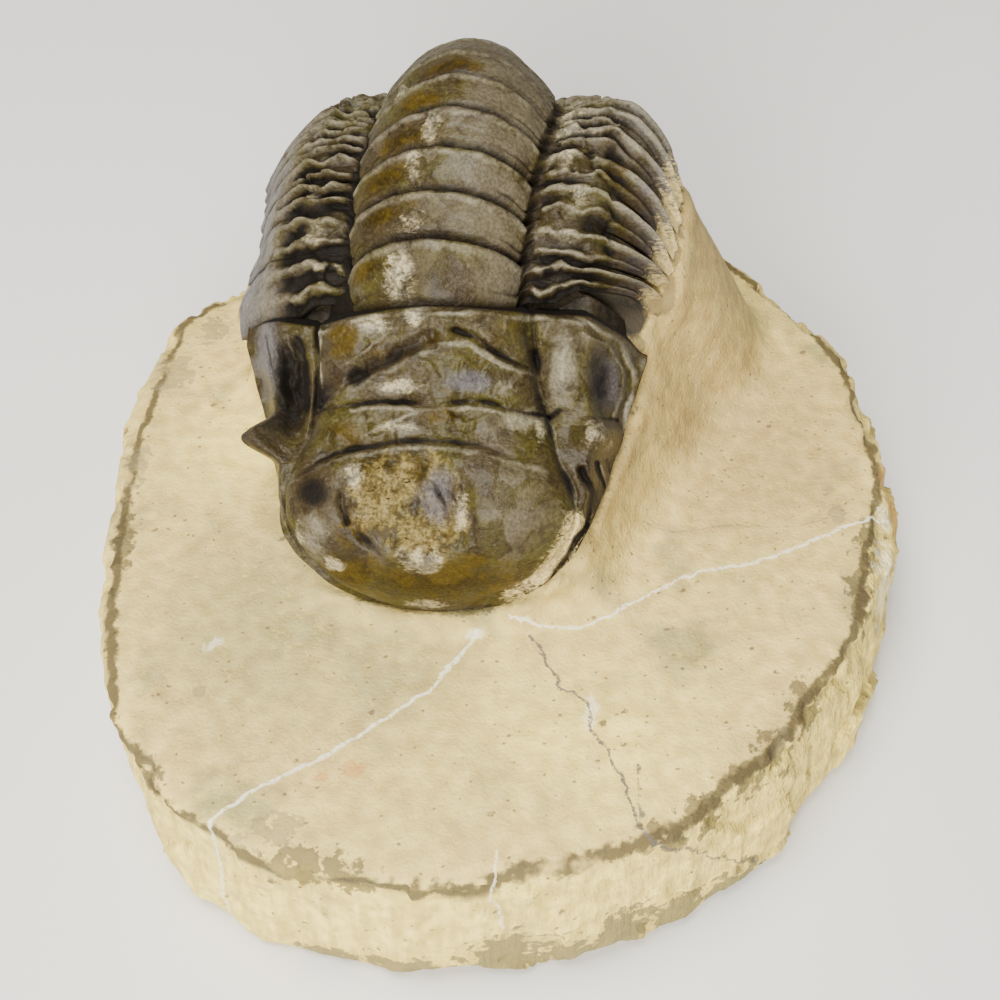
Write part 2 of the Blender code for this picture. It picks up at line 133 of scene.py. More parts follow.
# %% The line of the back, in millimetres
HEAD_REAR = np.array([-5.1, 4.0, 34.6])
SLOPE = soft_curve(((0, 38), (7.2, 24), (14.4, 6), (20, -12), (26, -34), (31, -52), (36, -68),
                    (40, -80), (52, -93)), 1.5)
TURN = soft_curve(((0, 0), (6, 7), (52, 7)), 1.0)
LEAN = soft_curve(((0, 6), (12, 9), (22, 7), (30, 3), (52, 0)), 1.5)
BACK_LENGTH = 52
BACK_STEP = 0.1


def turned_frame(slope, turn, lean):
    """Directions across the body, along it towards the tail, and out of the back."""
    slope, turn, lean = math.radians(slope), math.radians(turn), math.radians(lean)
    along = np.array([math.sin(turn) * math.cos(slope), math.cos(turn) * math.cos(slope), math.sin(slope)])
    level = np.array([math.cos(turn), -math.sin(turn), 0.0])
    up = np.cross(level, along)
    across = level * math.cos(lean) + up * math.sin(lean)
    out = up * math.cos(lean) - level * math.sin(lean)
    return across, along, out


def back_line():
    """One row for each step: the place, then the directions across, along and out."""
    rows = []
    place = HEAD_REAR.copy()
    for index in range(int(BACK_LENGTH / BACK_STEP) + 1):
        arc = index * BACK_STEP
        across, along, out = turned_frame(float(SLOPE(arc)), float(TURN(arc)), float(LEAN(arc)))
        rows.append(np.concatenate((place, across, along, out)))
        place = place + along * BACK_STEP
    return np.array(rows)


BACK = back_line()
BACK_ARC = np.arange(len(BACK)) * BACK_STEP


def on_back(arc, across, height):
    """World places for distances along the back, across it and over it."""
    row = np.stack([np.interp(arc, BACK_ARC, BACK[:, index]) for index in range(12)], axis=-1)
    before = np.minimum(0.0, arc)[:, None] * row[:, 6:9]
    return row[:, 0:3] + before + row[:, 3:6] * across[:, None] + row[:, 9:12] * height[:, None]


HEAD_SLOPE, HEAD_LEAN = 38.0, 6.0
HEAD_AXES = turned_frame(HEAD_SLOPE, 0.0, HEAD_LEAN)


def on_head(across, forward, height):
    """World places for the head's own frame, whose forward runs to the front of the head."""
    return (HEAD_REAR + np.outer(across, HEAD_AXES[0]) - np.outer(forward, HEAD_AXES[1])
            + np.outer(height, HEAD_AXES[2]))


print("back line:", len(BACK), "frames, ending at", np.round(BACK[-1, :3], 1))

# %% [markdown]
# Sheets with thickness
#
# Every plate of the shell is a curved sheet with a top, an inner side and closed edges. It could
# be a plane with a Solidify modifier, but the inner side has to stay plain where the top is
# sculpted. So a grid is extruded once, and each side is then bent to its own place.

# %% Make a plate
def plate(columns, rows):
    """A closed grid: x from 0 to 1 across, y from 0 to 1 along, z 0 on top and -1 below."""
    mesh = bmesh.new()
    bmesh.ops.create_grid(mesh, x_segments=columns, y_segments=rows, size=0.5)
    bmesh.ops.translate(mesh, vec=(0.5, 0.5, 0.0), verts=mesh.verts)
    lower = bmesh.ops.extrude_face_region(mesh, geom=mesh.faces[:])
    moved = [item for item in lower["geom"] if isinstance(item, bmesh.types.BMVert)]
    bmesh.ops.translate(mesh, vec=(0.0, 0.0, -1.0), verts=moved)
    data = bpy.data.meshes.new("plate")
    mesh.to_mesh(data)
    mesh.free()
    return data


# %% Read, bend and finish a mesh
FOSSIL_SKIN = []


def rows_of(data, kind):
    """What a mesh's points hold, one row of three numbers for each."""
    flat = np.empty(len(data.vertices) * 3)
    data.vertices.foreach_get(kind, flat)
    return flat.reshape(-1, 3)


def places_of(data):
    return rows_of(data, "co")


def normals_of(data):
    return rows_of(data, "normal")


def piece_from(data, name, places, masks, top=None, inner=None):
    """Bend a mesh to its places in millimetres, keep its masks and make it an object.

    Of a shell's top the places, directions and how far each is from the free edges are noted.
    """
    data.vertices.foreach_set("co", (places * MM).ravel())
    mesh = bmesh.new()
    mesh.from_mesh(data)
    bmesh.ops.recalc_face_normals(mesh, faces=mesh.faces)
    mesh.to_mesh(data)
    mesh.free()
    for mask, values in masks.items():
        layer = data.attributes.new(mask, "FLOAT", "POINT")
        layer.data.foreach_set("value", values.astype(np.float32))
    data.name = name
    data.shade_smooth()
    piece = bpy.data.objects.new(name, data)
    bpy.context.collection.objects.link(piece)
    if top is not None:
        inner = np.zeros(len(places)) if inner is None else inner
        FOSSIL_SKIN.append((places[top][::2], normals_of(data)[top][::2], inner[top][::2]))
    print(f"{name}: {len(data.polygons)} faces")
    return piece


# %% [markdown]
# Strokes
#
# Furrows, ridges and cracks are long and narrow, like strokes of a sculptor's tool. Each one is a
# short chain of points with a width and a height. Where a stroke passes, the surface is lowered
# or raised, and the same stroke marks the place in a mask, which the material then colours.

# %% Distance from strokes and patches
def stroke_distance(x, y, chain):
    """Distance of every place from a chain of points."""
    nearest = np.full(len(x), np.inf)
    for (ax, ay), (bx, by) in zip(chain, chain[1:]):
        length = max(1e-9, (bx - ax) ** 2 + (by - ay) ** 2)
        share = np.clip(((x - ax) * (bx - ax) + (y - ay) * (by - ay)) / length, 0.0, 1.0)
        nearest = np.minimum(nearest, np.hypot(x - ax - share * (bx - ax), y - ay - share * (by - ay)))
    return nearest


def stroke(x, y, chain, width):
    """1 on a chain of points, 0 from its width outwards."""
    return bell(stroke_distance(x, y, chain), width)


def patch(x, y, centre, size):
    """1 in the middle of an oval, 0 at its edge."""
    return bell(np.hypot((x - centre[0]) / size[0], (y - centre[1]) / size[1]), 1.0)


def ovals(x, y, places):
    """The strongest of several ovals. Each is a centre, a half size and, if it isn't 1, a strength."""
    strongest = np.zeros(len(x))
    for centre, size, *strength in places:
        share = strength[0] if strength else 1.0
        strongest = np.maximum(strongest, share * patch(x, y, centre, size))
    return strongest


# %% [markdown]
# Broken crystal
#
# Calcite doesn't wear round. It splits along flat faces, so an old shell surface is a patchwork of
# small tilted plates with tiny steps between them. A cell pattern gives that: each place belongs
# to the nearest of many scattered centres, and each centre has its own height and tilt.

# %% Flakes
def flakes(x, y, size, seed):
    """Plates with a step and a tilt each, about from -1 to 1."""
    place = np.stack((x, y), axis=-1) / size
    cell = np.floor(place).astype(np.int64)
    nearest = np.full(len(x), np.inf)
    level = np.zeros(len(x))
    for step in range(9):
        other = cell + np.array([step % 3 - 1, step // 3 - 1])
        key = np.column_stack((other, np.zeros(len(x), dtype=np.int64)))
        jitter = np.stack((cell_value(key, seed), cell_value(key, seed + 7)), axis=-1)
        offset = place - (other + 0.5 + 0.45 * jitter)
        away = (offset ** 2).sum(axis=1)
        tilt = cell_value(key, seed + 13) * offset[:, 0] + cell_value(key, seed + 19) * offset[:, 1]
        closer = away < nearest
        level = np.where(closer, 0.5 * cell_value(key, seed + 29) + 0.8 * tilt, level)
        nearest = np.minimum(nearest, away)
    return level


# %% [markdown]
# The head's form
#
# The cephalon is one plate. Its swollen middle, the glabella, ends in a big frontal lobe; deep
# grooves cross it, and the cheeks with the eyes fall away on both sides. Sculpting by hand would
# do, but then nothing could be measured. Here the height over the head's own flat frame is a sum:
# a crown line, the fall of each side, and the strokes and swellings that the fossil shows.

# %% Keys of the head, in millimetres
HEAD_LENGTH = 23.4
GAP = 0.4
# Half width by share of the length, and height by distance from the rear
HEAD_OUTLINE = soft_curve(((0, 15.4), (0.12, 15.5), (0.3, 14.6), (0.45, 13.6), (0.6, 12.6), (0.72, 11.6),
                           (0.82, 10.3), (0.91, 8.0), (0.97, 5.2), (1.0, 2.6)), 0.03)
CROWN = soft_curve(((0, -0.2), (4.7, 0.4), (9.8, 0.6), (12.9, 2.0), (15.9, 2.2), (18.7, 1.1),
                    (21.1, -1.1), (22.5, -3.0), (23.4, -4.9)), 1.0)
# Half width of the glabella on each side, by distance from the rear
GLABELLA_RIGHT = soft_curve(((0, 6.6), (3, 6.8), (6, 7.3), (8.5, 8.2), (10.4, 8.7), (12, 9.2), (13.5, 10),
                             (15.5, 10.5), (17, 10.3), (18.5, 9.4), (20, 7.8), (21, 6.2), (22, 3.8),
                             (23.4, 1.4)), 0.6)
GLABELLA_LEFT = soft_curve(((0, 8.2), (2, 8.6), (5, 8.5), (8, 8.4), (10.4, 9.2), (12, 10.0), (14, 10.7),
                            (16, 10.7), (18, 9.9), (20, 8.4), (21.3, 6.8), (22.4, 4.4),
                            (23.4, 2.0)), 0.6)
GLABELLA_RELIEF = 3.0
CHEEK_BEND = 11.2
CHEEK_FALL = 5.2
HEAD_SHELL = 2.4
print("head, mm:", HEAD_LENGTH, "long,", round(2.0 * float(HEAD_OUTLINE(0.1)), 1), "wide")

# %% Furrows of the head
# Each furrow: points, width, depth and how dark its painted shade is
HEAD_FURROWS = (
    (((-8.4, 7.0), (-5.6, 5.8), (-3.2, 4.7), (-1.5, 3.7), (0.2, 3.1)), 1.2, 0.6, 0.72),
    (((-8.6, 8.0), (-5.6, 6.1), (-3.2, 4.9), (-1.5, 3.8), (0.2, 3.2)), 0.45, 0.35, 0.85),
    (((0.3, 3.0), (2.6, 2.7), (4.5, 3.9), (7.0, 5.1)), 0.9, 0.35, 0.2),
    (((1.8, 2.6), (3.4, 3.2), (4.6, 4.1), (6.8, 5.2)), 0.3, 0.35, 0.8),
    (((-9.1, 8.6), (-6.1, 7.9), (-2.2, 7.8), (0, 7.7), (5.4, 8.1), (8.3, 8.8)), 1.1, 0.4, 0.15),
    (((-9.1, 8.6), (-6.1, 7.9), (-2.2, 7.75), (0, 7.6), (3, 7.7), (5.4, 8.1), (8.3, 8.8)), 0.28, 0.3, 0.75),
    (((-10.3, 13.2), (-8.4, 12.1), (-6.1, 11.1), (-2.2, 10.4), (1.4, 10.4), (5, 11.1), (9, 12.1)),
     1.3, 0.55, 0.2),
    (((-10.3, 13.3), (-8.4, 12.2), (-6.1, 11.2), (-2.2, 10.45), (1.4, 10.45), (5, 11.2), (8.8, 12.2)),
     0.32, 0.35, 0.8),
    (((7.1, 0.9), (7.3, 2.6), (7.4, 4)), 0.3, 0.5, 0.5),
    (((7.4, 4), (7.7, 7.5)), 0.4, 0.75, 0.95),
    (((7.7, 7.5), (8.6, 10.4), (9.6, 12.6), (10.4, 14.6)), 0.36, 0.6, 0.6),
    (((-9.0, 1.5), (-8.7, 4), (-8.9, 6.6), (-9.2, 9.4)), 0.26, 0.5, 0.85),
    (((-9.2, 9.4), (-9.6, 12.4)), 0.3, 0.4, 0.5),
    (((-10.7, 12.6), (-10.9, 14), (-10.9, 16), (-9.8, 18.8)), 0.3, 0.4, 0.6),
    (((10.9, 12.6), (11.5, 14.2), (11.1, 16.8), (9.6, 19.2), (8.0, 21.2)), 0.32, 0.7, 1.0),
    (((11.9, 12.2), (12.3, 14), (11.9, 16.4), (10.7, 18.4)), 0.24, 0.55, 1.0),
    (((12.6, 12.0), (12.9, 13.6), (12.7, 15.6), (11.9, 17.2)), 0.22, 0.45, 0.9),
    (((13.4, 11.2), (13.5, 13.0), (13.2, 14.6)), 0.25, 0.45, 0.9),
    (((8.3, 8.9), (9.2, 8.2), (10.6, 8.5), (13.3, 9.0)), 0.3, 0.4, 0.7),
    (((8.4, 1.3), (11, 1.9), (12.9, 3.6)), 0.35, 0.35, 0.5),
    (((-12.2, 9.0), (-11.3, 9.4), (-10.6, 9.2)), 0.4, 0.3, 0.5),
    (((-10.4, 3.0), (-9.7, 4.6), (-10.1, 6.6), (-9.8, 8.8)), 0.6, 0.35, 1.0),
    (((-11.8, 2.4), (-11.1, 4.4), (-11.3, 6.2), (-10.8, 7.6)), 0.3, 0.35, 0.8),
    (((-13.2, 2.6), (-12.6, 4.4), (-12.4, 6.8)), 0.26, 0.3, 0.6),
    (((-12.4, 7.6), (-11.2, 8.2)), 0.3, 0.3, 0.7),
    (((11.4, 0.9), (13.2, 1.6), (15.2, 3.3)), 0.8, 1.1, 1.0),
    (((-1.0, 1.2), (-0.6, 2.2), (-0.2, 3.1)), 0.22, 0.3, 0.6),
    (((-0.3, 12.6), (-0.4, 13.8), (0.2, 15.2)), 0.35, 0.35, 0.75),
    (((0.5, 13.4), (1.2, 14.8), (1.8, 16.6)), 0.3, 0.3, 0.7),
    (((1.3, 13.2), (2.2, 15.0)), 0.25, 0.25, 0.6),
    (((0.2, 16.2), (1.2, 17.4)), 0.4, 0.35, 0.7),
    (((-5.8, 13.2), (-6.4, 14.8), (-5.9, 16.4)), 0.35, 0.35, 0.8),
    (((-4.8, 17.2), (-3.0, 19.2), (-1.6, 20.2)), 0.5, 0.25, 0.65),
    (((1.4, 18.2), (3.2, 17.6), (3.6, 16.2)), 0.45, 0.25, 0.6),
)
print("furrows:", len(HEAD_FURROWS))

# %% Ridges, swellings and eyes of the head
# Each ridge: points, width, rise and how pale it is, a paleness that is partly painted highlight
HEAD_RIDGES = (
    (((-1.0, 1.3), (0.5, 1.3), (4.5, 1.5), (7.2, 1.7), (11.3, 1.9), (13.6, 3.2), (14.5, 5.3), (14.4, 7.4),
      (13.9, 9.6)), 0.42, 0.45, 0.8),
    (((10.8, 2.6), (12.7, 3.4), (13.7, 5.2), (13.6, 7.2), (13.0, 9.0)), 0.26, 0.35, 0.8),
    (((-8.3, 2.6), (-5.6, 1.9), (-2.9, 1.5), (-1.0, 1.3)), 0.4, 0.4, 0.6),
    (((0.3, 3.6), (2.9, 3.6), (4.7, 4.8), (7.2, 5.8)), 0.32, 0.22, 0.95),
    (((-8.3, 2.3), (-8.25, 4.5), (-8.2, 6.8)), 0.24, 0.4, 0.85),
    (((-6.6, 5.2), (-4.2, 3.7), (-2.0, 2.2)), 0.26, 0.18, 0.8),
    (((-7.8, 7.4), (-4.4, 6.2), (-1.0, 4.5), (0.8, 4.0)), 0.4, 0.18, 0.55),
    (((-5.8, 8.3), (-1.5, 8.15), (2.6, 8.2), (5.4, 8.6), (8.2, 9.3)), 0.26, 0.15, 0.9),
    (((-5.0, 10.2), (-2.6, 9.2), (-0.8, 8.3)), 0.22, 0.16, 0.8),
    (((-9.9, 13.4), (-6.1, 11.8), (-2.2, 10.95), (1.4, 11.0), (5, 11.7), (8.6, 12.7)), 0.34, 0.14, 0.6),
    (((8.4, 9.4), (9.4, 11.9), (10.3, 14.2), (10.6, 16.6), (9.6, 18.8), (7.2, 20.9)), 0.26, 0.32, 0.9),
    (((12.2, 12.4), (12.5, 14.2), (12.2, 16.0), (11.2, 18.0)), 0.2, 0.25, 0.85),
    (((14.2, 9.8), (14.0, 12.0), (13.6, 14.4), (12.6, 17.0), (11.2, 19.2)), 0.36, 0.4, 0.45),
    (((-11.9, 12.8), (-11.5, 14.8), (-10.9, 17.0)), 0.4, 0.3, 0.5),
    (((-11.1, 2.6), (-10.4, 4.6), (-10.8, 6.4)), 0.3, 0.3, 0.8),
    (((-12.4, 2.2), (-11.8, 4.2), (-11.9, 6.6), (-11.4, 8.0)), 0.34, 0.3, 0.75),
    (((-14.2, 2.8), (-13.6, 5.2), (-13.0, 7.6)), 0.4, 0.25, 0.6),
)
# Each swelling: centre, half size and rise, below nothing for a sunken place
HEAD_SWELLINGS = (
    ((-5.6, 3.0), (3.0, 2.3), 0.5),
    ((4.2, 2.2), (2.8, 1.6), 0.3),
    ((9.5, 4.9), (1.9, 4.0), 1.2),
    ((11.6, 10.1), (1.9, 1.7), 1.1),
    ((-12.9, 4.0), (2.4, 5.2), 0.7),
    ((-10.7, 7.2), (1.7, 5.2), -1.5),
    ((12.2, 5.8), (1.3, 3.2), -1.3),
    ((5.6, 15.2), (5.0, 5.5), 0.25),
)
# Each pale place: centre, half size and how pale; the one on the left of the frontal lobe is painted light
HEAD_PALE_AND_LIT = (((9.5, 5.4), (1.8, 4.2), 0.85), ((4.3, 2.4), (3.2, 1.4), 0.35),
             ((6.4, 9.0), (2.8, 1.4), 0.8), ((-8.6, 17.6), (2.2, 3.4), 0.6),
             ((-4.2, 2.4), (1.8, 1.5), 0.6), ((-2.0, 9.6), (2.4, 0.9), 0.6),
             ((5.4, 6.7), (1.6, 0.8), 0.45), ((-1.0, 1.2), (1.3, 1.2), 0.7),
             ((-13.8, 4.0), (1.8, 5.6), 0.4))
# Each place of painted shade: centre, half size and how dark
HEAD_SHADED = (((-10.9, 6.6), (2.3, 6.4), 1.0), ((12.1, 6.2), (1.7, 4.8), 0.62),
             ((-12.4, 10.3), (1.6, 2.2), 0.55), ((-8.3, 14.2), (2.3, 2.0), 0.85),
             ((-12.3, 10.3), (2.6, 2.6), 0.4), ((12.2, 14.9), (1.6, 3.0), 0.5))
# Each eye: centre, radius and how far it stands out
LEFT_EYE = ((-12.3, 10.3), 2.2, 3.0)
RIGHT_EYE = ((12.3, 10.3), 1.9, 0.7)
EYE_AIM = (0.75, 0.66)
# Behind this line the surface drops under the first ring: its distance forward by place across
REAR_LINE = soft_curve(((-15.5, 1.6), (-12, 1.7), (-9.5, 2.1), (-8, 2.1), (-5.6, 1.6), (-2.9, 1.15),
                        (0, 0.95), (2.9, 1.05), (5.0, 1.25), (7.2, 1.3), (11.3, 1.5), (13.7, 2.8),
                        (15.6, 4.5)), 0.6)
print("ridges and swellings:", len(HEAD_RIDGES), "and", len(HEAD_SWELLINGS))

# %% Height of the head
def flat_places(across, forward):
    """Places on the head's own flat frame, for noise that ignores the height."""
    return np.stack((across, forward, np.zeros(len(across))), axis=-1)


def head_form(across, forward):
    """The smooth form: the crown line, the round glabella and the fall of the cheeks."""
    side = np.abs(across)
    edge = HEAD_OUTLINE(forward / HEAD_LENGTH)
    half = np.where(across > 0.0, GLABELLA_RIGHT(forward), GLABELLA_LEFT(forward))
    crown = CROWN(forward)
    drop = GLABELLA_RELIEF * (1.0 - 0.75 * ease((forward / HEAD_LENGTH - 0.78) / 0.22))
    bend = np.minimum(CHEEK_BEND, edge - 1.2)
    fall = ease((side - bend) / np.maximum(0.1, edge - bend)) * ease((edge - CHEEK_BEND) / 1.6)
    dome = np.sqrt(np.clip(1.0 - (side / half) ** 2.2, 0.0, 1.0))
    cheek = crown - drop - 0.3 - CHEEK_FALL * fall
    return np.where(side < half, crown - drop * (1.0 - dome), cheek)


def head_height(across, forward):
    """Height of the head's top over its frame, with masks of the painted shade in its hollows and of its
    pale crests, partly painted highlight.
    """
    height = head_form(across, forward)
    for centre, size, rise in HEAD_SWELLINGS:
        height += rise * patch(across, forward, centre, size)
    hollow_shade = ovals(across, forward, HEAD_SHADED)
    crest = ovals(across, forward, HEAD_PALE_AND_LIT)
    flat = flat_places(across, forward)
    bent_across = across + 0.25 * weathering(flat, 2.0, 3, 14)
    bent_forward = forward + 0.25 * weathering(flat, 2.0, 3, 15)
    uneven = np.clip(0.7 + 1.1 * weathering(flat, 2.2, 2, 13), 0.15, 1.3)
    for chain, width, depth, dark in HEAD_FURROWS:
        line = stroke(bent_across, bent_forward, chain, width * (0.7 + 0.5 * uneven))
        height -= depth * line * uneven
        hollow_shade = np.maximum(hollow_shade, dark * line * uneven)
    for chain, width, rise, pale in HEAD_RIDGES:
        line = stroke(bent_across, bent_forward, chain, width * (0.6 + 0.5 * uneven))
        height += rise * line * uneven
        crest = np.maximum(crest, pale * line * uneven)
    behind = ease((REAR_LINE(across) - forward) / 0.3)
    height -= 0.6 * behind + 1.8 * ease((REAR_LINE(across) - 0.1 - forward) / 0.8)
    # Painted shade where the head drops under the first ring
    hollow_shade = np.maximum(hollow_shade, behind)
    return height, hollow_shade, crest


# %% [markdown]
# Patches of colour on the head
#
# The shell is calcite that grew dark and glassy. In places its skin has peeled off and shows
# rough ochre underneath, and milk-white calcite fills some hollows. Where they are is written
# down as ovals; their ragged outlines come later, from noise in the material.

# %% Where the head is peeled, white, amber, beige and grey
HEAD_PEELED = (((-3.2, 14.6), (4.2, 4.8)), ((-1.2, 13.2), (4.4, 3.0)), ((-0.4, 17.0), (3.8, 3.0)),
               ((1.9, 15.4), (2.0, 3.8)))
HEAD_WHITE = (((-0.6, 19.0), (2.1, 1.4)), ((-3.9, 2.2), (1.5, 0.9)), ((-1.8, 6.6), (2.3, 0.6)),
              ((-2.2, 9.5), (1.8, 0.5)), ((2.5, 15.4), (0.8, 2.6)), ((12.0, 10.1), (1.6, 1.4)),
              ((-7.1, 19.4), (1.2, 0.8)), ((-9.6, 17.2), (0.6, 1.2)), ((-0.5, 22.6), (2.6, 0.6)),
              ((8.0, 9.6), (0.6, 1.6)), ((-1.2, 1.6), (1.0, 0.9)), ((-5.2, 12.9), (0.9, 1.2)))
HEAD_AMBER = (((1.4, 8.8), (2.4, 1.0)), ((-6.5, 3.2), (1.8, 1.8)),
              ((0.8, 20.8), (8.5, 2.6)), ((-6.0, 20.0), (3.6, 2.4)), ((-6.8, 10.0), (2.6, 1.4)),
              ((0.2, 3.2), (1.2, 0.9)), ((-3.6, 12.2), (3.4, 1.2)), ((-3.0, 4.4), (1.8, 0.8)),
              ((-5.4, 17.4), (1.8, 2.4)), ((3.4, 18.6), (1.6, 2.2)), ((4.0, 2.2), (3.4, 1.8), 0.45))
HEAD_BEIGE = (((9.5, 5.2), (2.0, 4.2)), ((5.0, 9.9), (2.4, 1.4)), ((6.6, 15.4), (4.4, 4.6)),
              ((4.6, 6.6), (3.4, 1.2)), ((9.0, 21.0), (1.8, 1.8)), ((-6.6, 16.0), (3.0, 2.6)),
              ((10.9, 3.2), (1.6, 0.9)))
HEAD_GREY = (((0.9, 14.4), (2.3, 3.2)), ((3.0, 6.2), (3.4, 1.4)),
             ((12.6, 6.0), (1.6, 4.0)), ((-12.9, 4.6), (2.6, 5.4)))
HEAD_BEIGE_STRENGTH = 0.45
# Stone left in the seam at the lower right
HEAD_SEAM = ((10.7, 16.2), (9.7, 18.4), (8.0, 20.4), (5.6, 22.2))
HEAD_SEAM_WIDTH = 1.1
HEAD_SEAM_STRENGTH = 0.65
print("patches on the head:", sum(map(len, (HEAD_PEELED, HEAD_WHITE, HEAD_AMBER, HEAD_BEIGE, HEAD_GREY))))

# %% Outline, broken surface and eyes of the head
HEAD_COLUMNS = 260
HEAD_ROWS = 180
REAR_CURVE = 2.4
REAR_REACH = 1.3
INNER_REACH = 0.985
# Centre and half size of the broken recess on the left and of the bumps on the right eye
LEFT_RECESS = ((-11.2, 6.0), (3.4, 8.0))
EYE_BUMPS = ((11.9, 10.2), (2.0, 1.7))


def head_frame_places(column, share):
    """Across and forward for a column from -1 to 1 and a share of the head's length."""
    across = HEAD_OUTLINE(share) * np.abs(column) ** 0.9
    forward = share * (HEAD_LENGTH + REAR_REACH) - REAR_REACH
    curve = np.where(column > 0.0, REAR_CURVE, 0.4) + REAR_REACH
    forward = forward + curve * (1.0 - share) ** 3 * np.maximum(0.0, (across - 7.0) / 8.0) ** 2
    return across * np.sign(column), forward


def roughened(height, across, forward, peeled):
    """The head's height with split crystal, the broken left recess and the peeled patch."""
    flat = flat_places(across, forward)
    lobes = ease((8.6 - np.abs(across)) / 1.2) * ease((forward - 1.2) / 0.8) * ease((11.4 - forward) / 1.2)
    warp = 0.5 * weathering(flat, 1.5, 2, 16)
    height = height + (0.04 + 0.3 * lobes) * flakes(across + warp, (forward - warp) * 1.5, 2.3, 17)
    recess = patch(across, forward, *LEFT_RECESS)
    height += 0.5 * ease((-9.4 - across) / 1.0) * ease((10.0 - forward) / 3.0) * weathering(flat, 1.7, 3, 34)
    height += (0.12 * lobes + 0.45 * recess) * flakes(across - warp, forward + warp, 0.9, 31)
    height += (0.1 + 0.1 * lobes) * weathering(flat, 3.0, 3, 11) + 0.04 * weathering(flat, 0.8, 3, 12)
    crumbs = 0.3 * flakes(across - warp, forward + warp, 0.9, 18) + 0.16 * weathering(flat, 0.7, 3, 19)
    height += ease(peeled * 2.2) * crumbs
    return height - 0.3 * ease(peeled * 3.5)


def with_eyes(across, forward, height):
    """Across and height once both eyes are drawn outwards; the right one is bumpy."""
    flat = flat_places(across, forward)
    for (eye, radius, length), side in ((LEFT_EYE, -1.0), (RIGHT_EYE, 1.0)):
        push = length * (1.0 - ease(np.hypot(across - eye[0], forward - eye[1]) / radius))
        across = across + side * EYE_AIM[0] * push
        height = height + EYE_AIM[1] * push
    bumps = patch(across, forward, *EYE_BUMPS)
    return across, height + bumps * 0.35 * weathering(flat, 0.7, 2, 20)


# %% Build the head
def head_inner_side(column, share):
    """World places of the plain inner side, a little inside the edge."""
    across, forward = head_frame_places(column * INNER_REACH, share)
    edge = HEAD_OUTLINE(share)
    height = CROWN(forward) - GLABELLA_RELIEF * ease(np.abs(across) / 8.5)
    height -= CHEEK_FALL * ease((np.abs(across) - CHEEK_BEND) / np.maximum(0.1, edge - CHEEK_BEND))
    return on_head(across, forward, height - HEAD_SHELL)


def build_head():
    data = plate(HEAD_COLUMNS, HEAD_ROWS)
    grid = places_of(data)
    column, share, under = grid[:, 0] * 2.0 - 1.0, grid[:, 1], grid[:, 2] < -0.5
    across, forward = head_frame_places(column, share)
    height, hollow_shade, crest = head_height(across, forward)
    peeled = ovals(across, forward, HEAD_PEELED)
    across, height = with_eyes(across, forward, roughened(height, across, forward, peeled))
    masks = {
        # The inner side gets a half-strength painted shade; the top keeps the painted shade of its hollows
        "hollow_shade": np.where(under, 0.5, hollow_shade), "crest": np.where(under, 0.0, crest),
        "peeled": np.where(under, 0.0, peeled), "white": ovals(across, forward, HEAD_WHITE),
        "amber": ovals(across, forward, HEAD_AMBER),
        "beige": HEAD_BEIGE_STRENGTH * ovals(across, forward, HEAD_BEIGE),
        "grey": ovals(across, forward, HEAD_GREY),
        "dust": HEAD_SEAM_STRENGTH * stroke(across, forward, HEAD_SEAM, HEAD_SEAM_WIDTH),
    }
    top = on_head(across, forward, height)
    places = np.where(under[:, None], head_inner_side(column, share), top)
    covering = ease((HEAD_OUTLINE(share) - np.abs(across) - 1.0) / 1.5)
    covering = covering * ease((HEAD_LENGTH - 1.5 - forward) / 1.5)
    return piece_from(data, "head_shield", places, masks, ~under, covering)


head_shield = build_head()

# %% [markdown]
# The body's section
#
# Cut across, the thorax is a high rounded axis with a furrow on each side, then the pleurae,
# which run out level and bend down at the fulcrum to their tips. One half is written as keys by
# column, and mirrored. Rings narrow towards the tail.

# %% Section of the body
# Places across and up by column; the axis ends at column 3 and the pleura bends at column 5
HALF_SECTION = ((0.0, 0.0), (3.1, -0.5), (5.3, -1.9), (6.5, -3.6), (8.9, -3.3), (11.4, -4.2),
                (13.7, -6.0), (15.7, -8.1), (17.2, -10.4))
LAST = len(HALF_SECTION) - 1
AXIS = 3
FULCRUM = 5


def mirrored(values, sign):
    """Keys for the columns of both halves, from the values of one."""
    keys = list(enumerate(values))
    return [(-index, sign * value) for index, value in reversed(keys)][:-1] + keys


SECTION_X = soft_curve(mirrored([x for x, _ in HALF_SECTION], -1.0), 0.5)
SECTION_Y = soft_curve(mirrored([y for _, y in HALF_SECTION], 1.0), 0.5)
SEGMENTS = 11
RING_PITCH = 3.6
SHELL = 1.6
TIP_NARROWING = 0.38
TIP_SWEEP = 1.6


def body_width(arc):
    """How wide the body still is at a distance along the back."""
    return 1.0 - 0.4 * ease((arc - 20.0) / 26.0)


def section_at(column):
    """Place on the section and its outward direction, for columns from -8 to 8."""
    x, y = SECTION_X(column), SECTION_Y(column)
    run = SECTION_X(column + 0.05) - SECTION_X(column - 0.05)
    rise = SECTION_Y(column + 0.05) - SECTION_Y(column - 0.05)
    length = np.hypot(run, rise)
    return x, y, -rise / length, run / length


print("body, mm:", 2.0 * HALF_SECTION[-1][0], "wide,", round(SEGMENTS * RING_PITCH, 1), "along the rings")

# %% [markdown]
# How the rings lie
#
# The rings don't cross the back in straight lines. Their middles bow towards the tail and their
# ends are drawn forwards, more on the left than on the right. On the right the blades fan out from
# one place near the head, because that flank is bent round. Over the top of the arch the axis
# is wider and more roof-like. All this is only a shift along the back or across it.

# %% Bow, fan and width
def tip_share(column):
    """0 up to the fulcrum, 1 at the tips."""
    return np.maximum(0.0, np.abs(column) - FULCRUM) / (LAST - FULCRUM)


def right_side(column):
    """1 right of the middle line, else 0."""
    return np.where(column > 0.0, 1.0, 0.0)


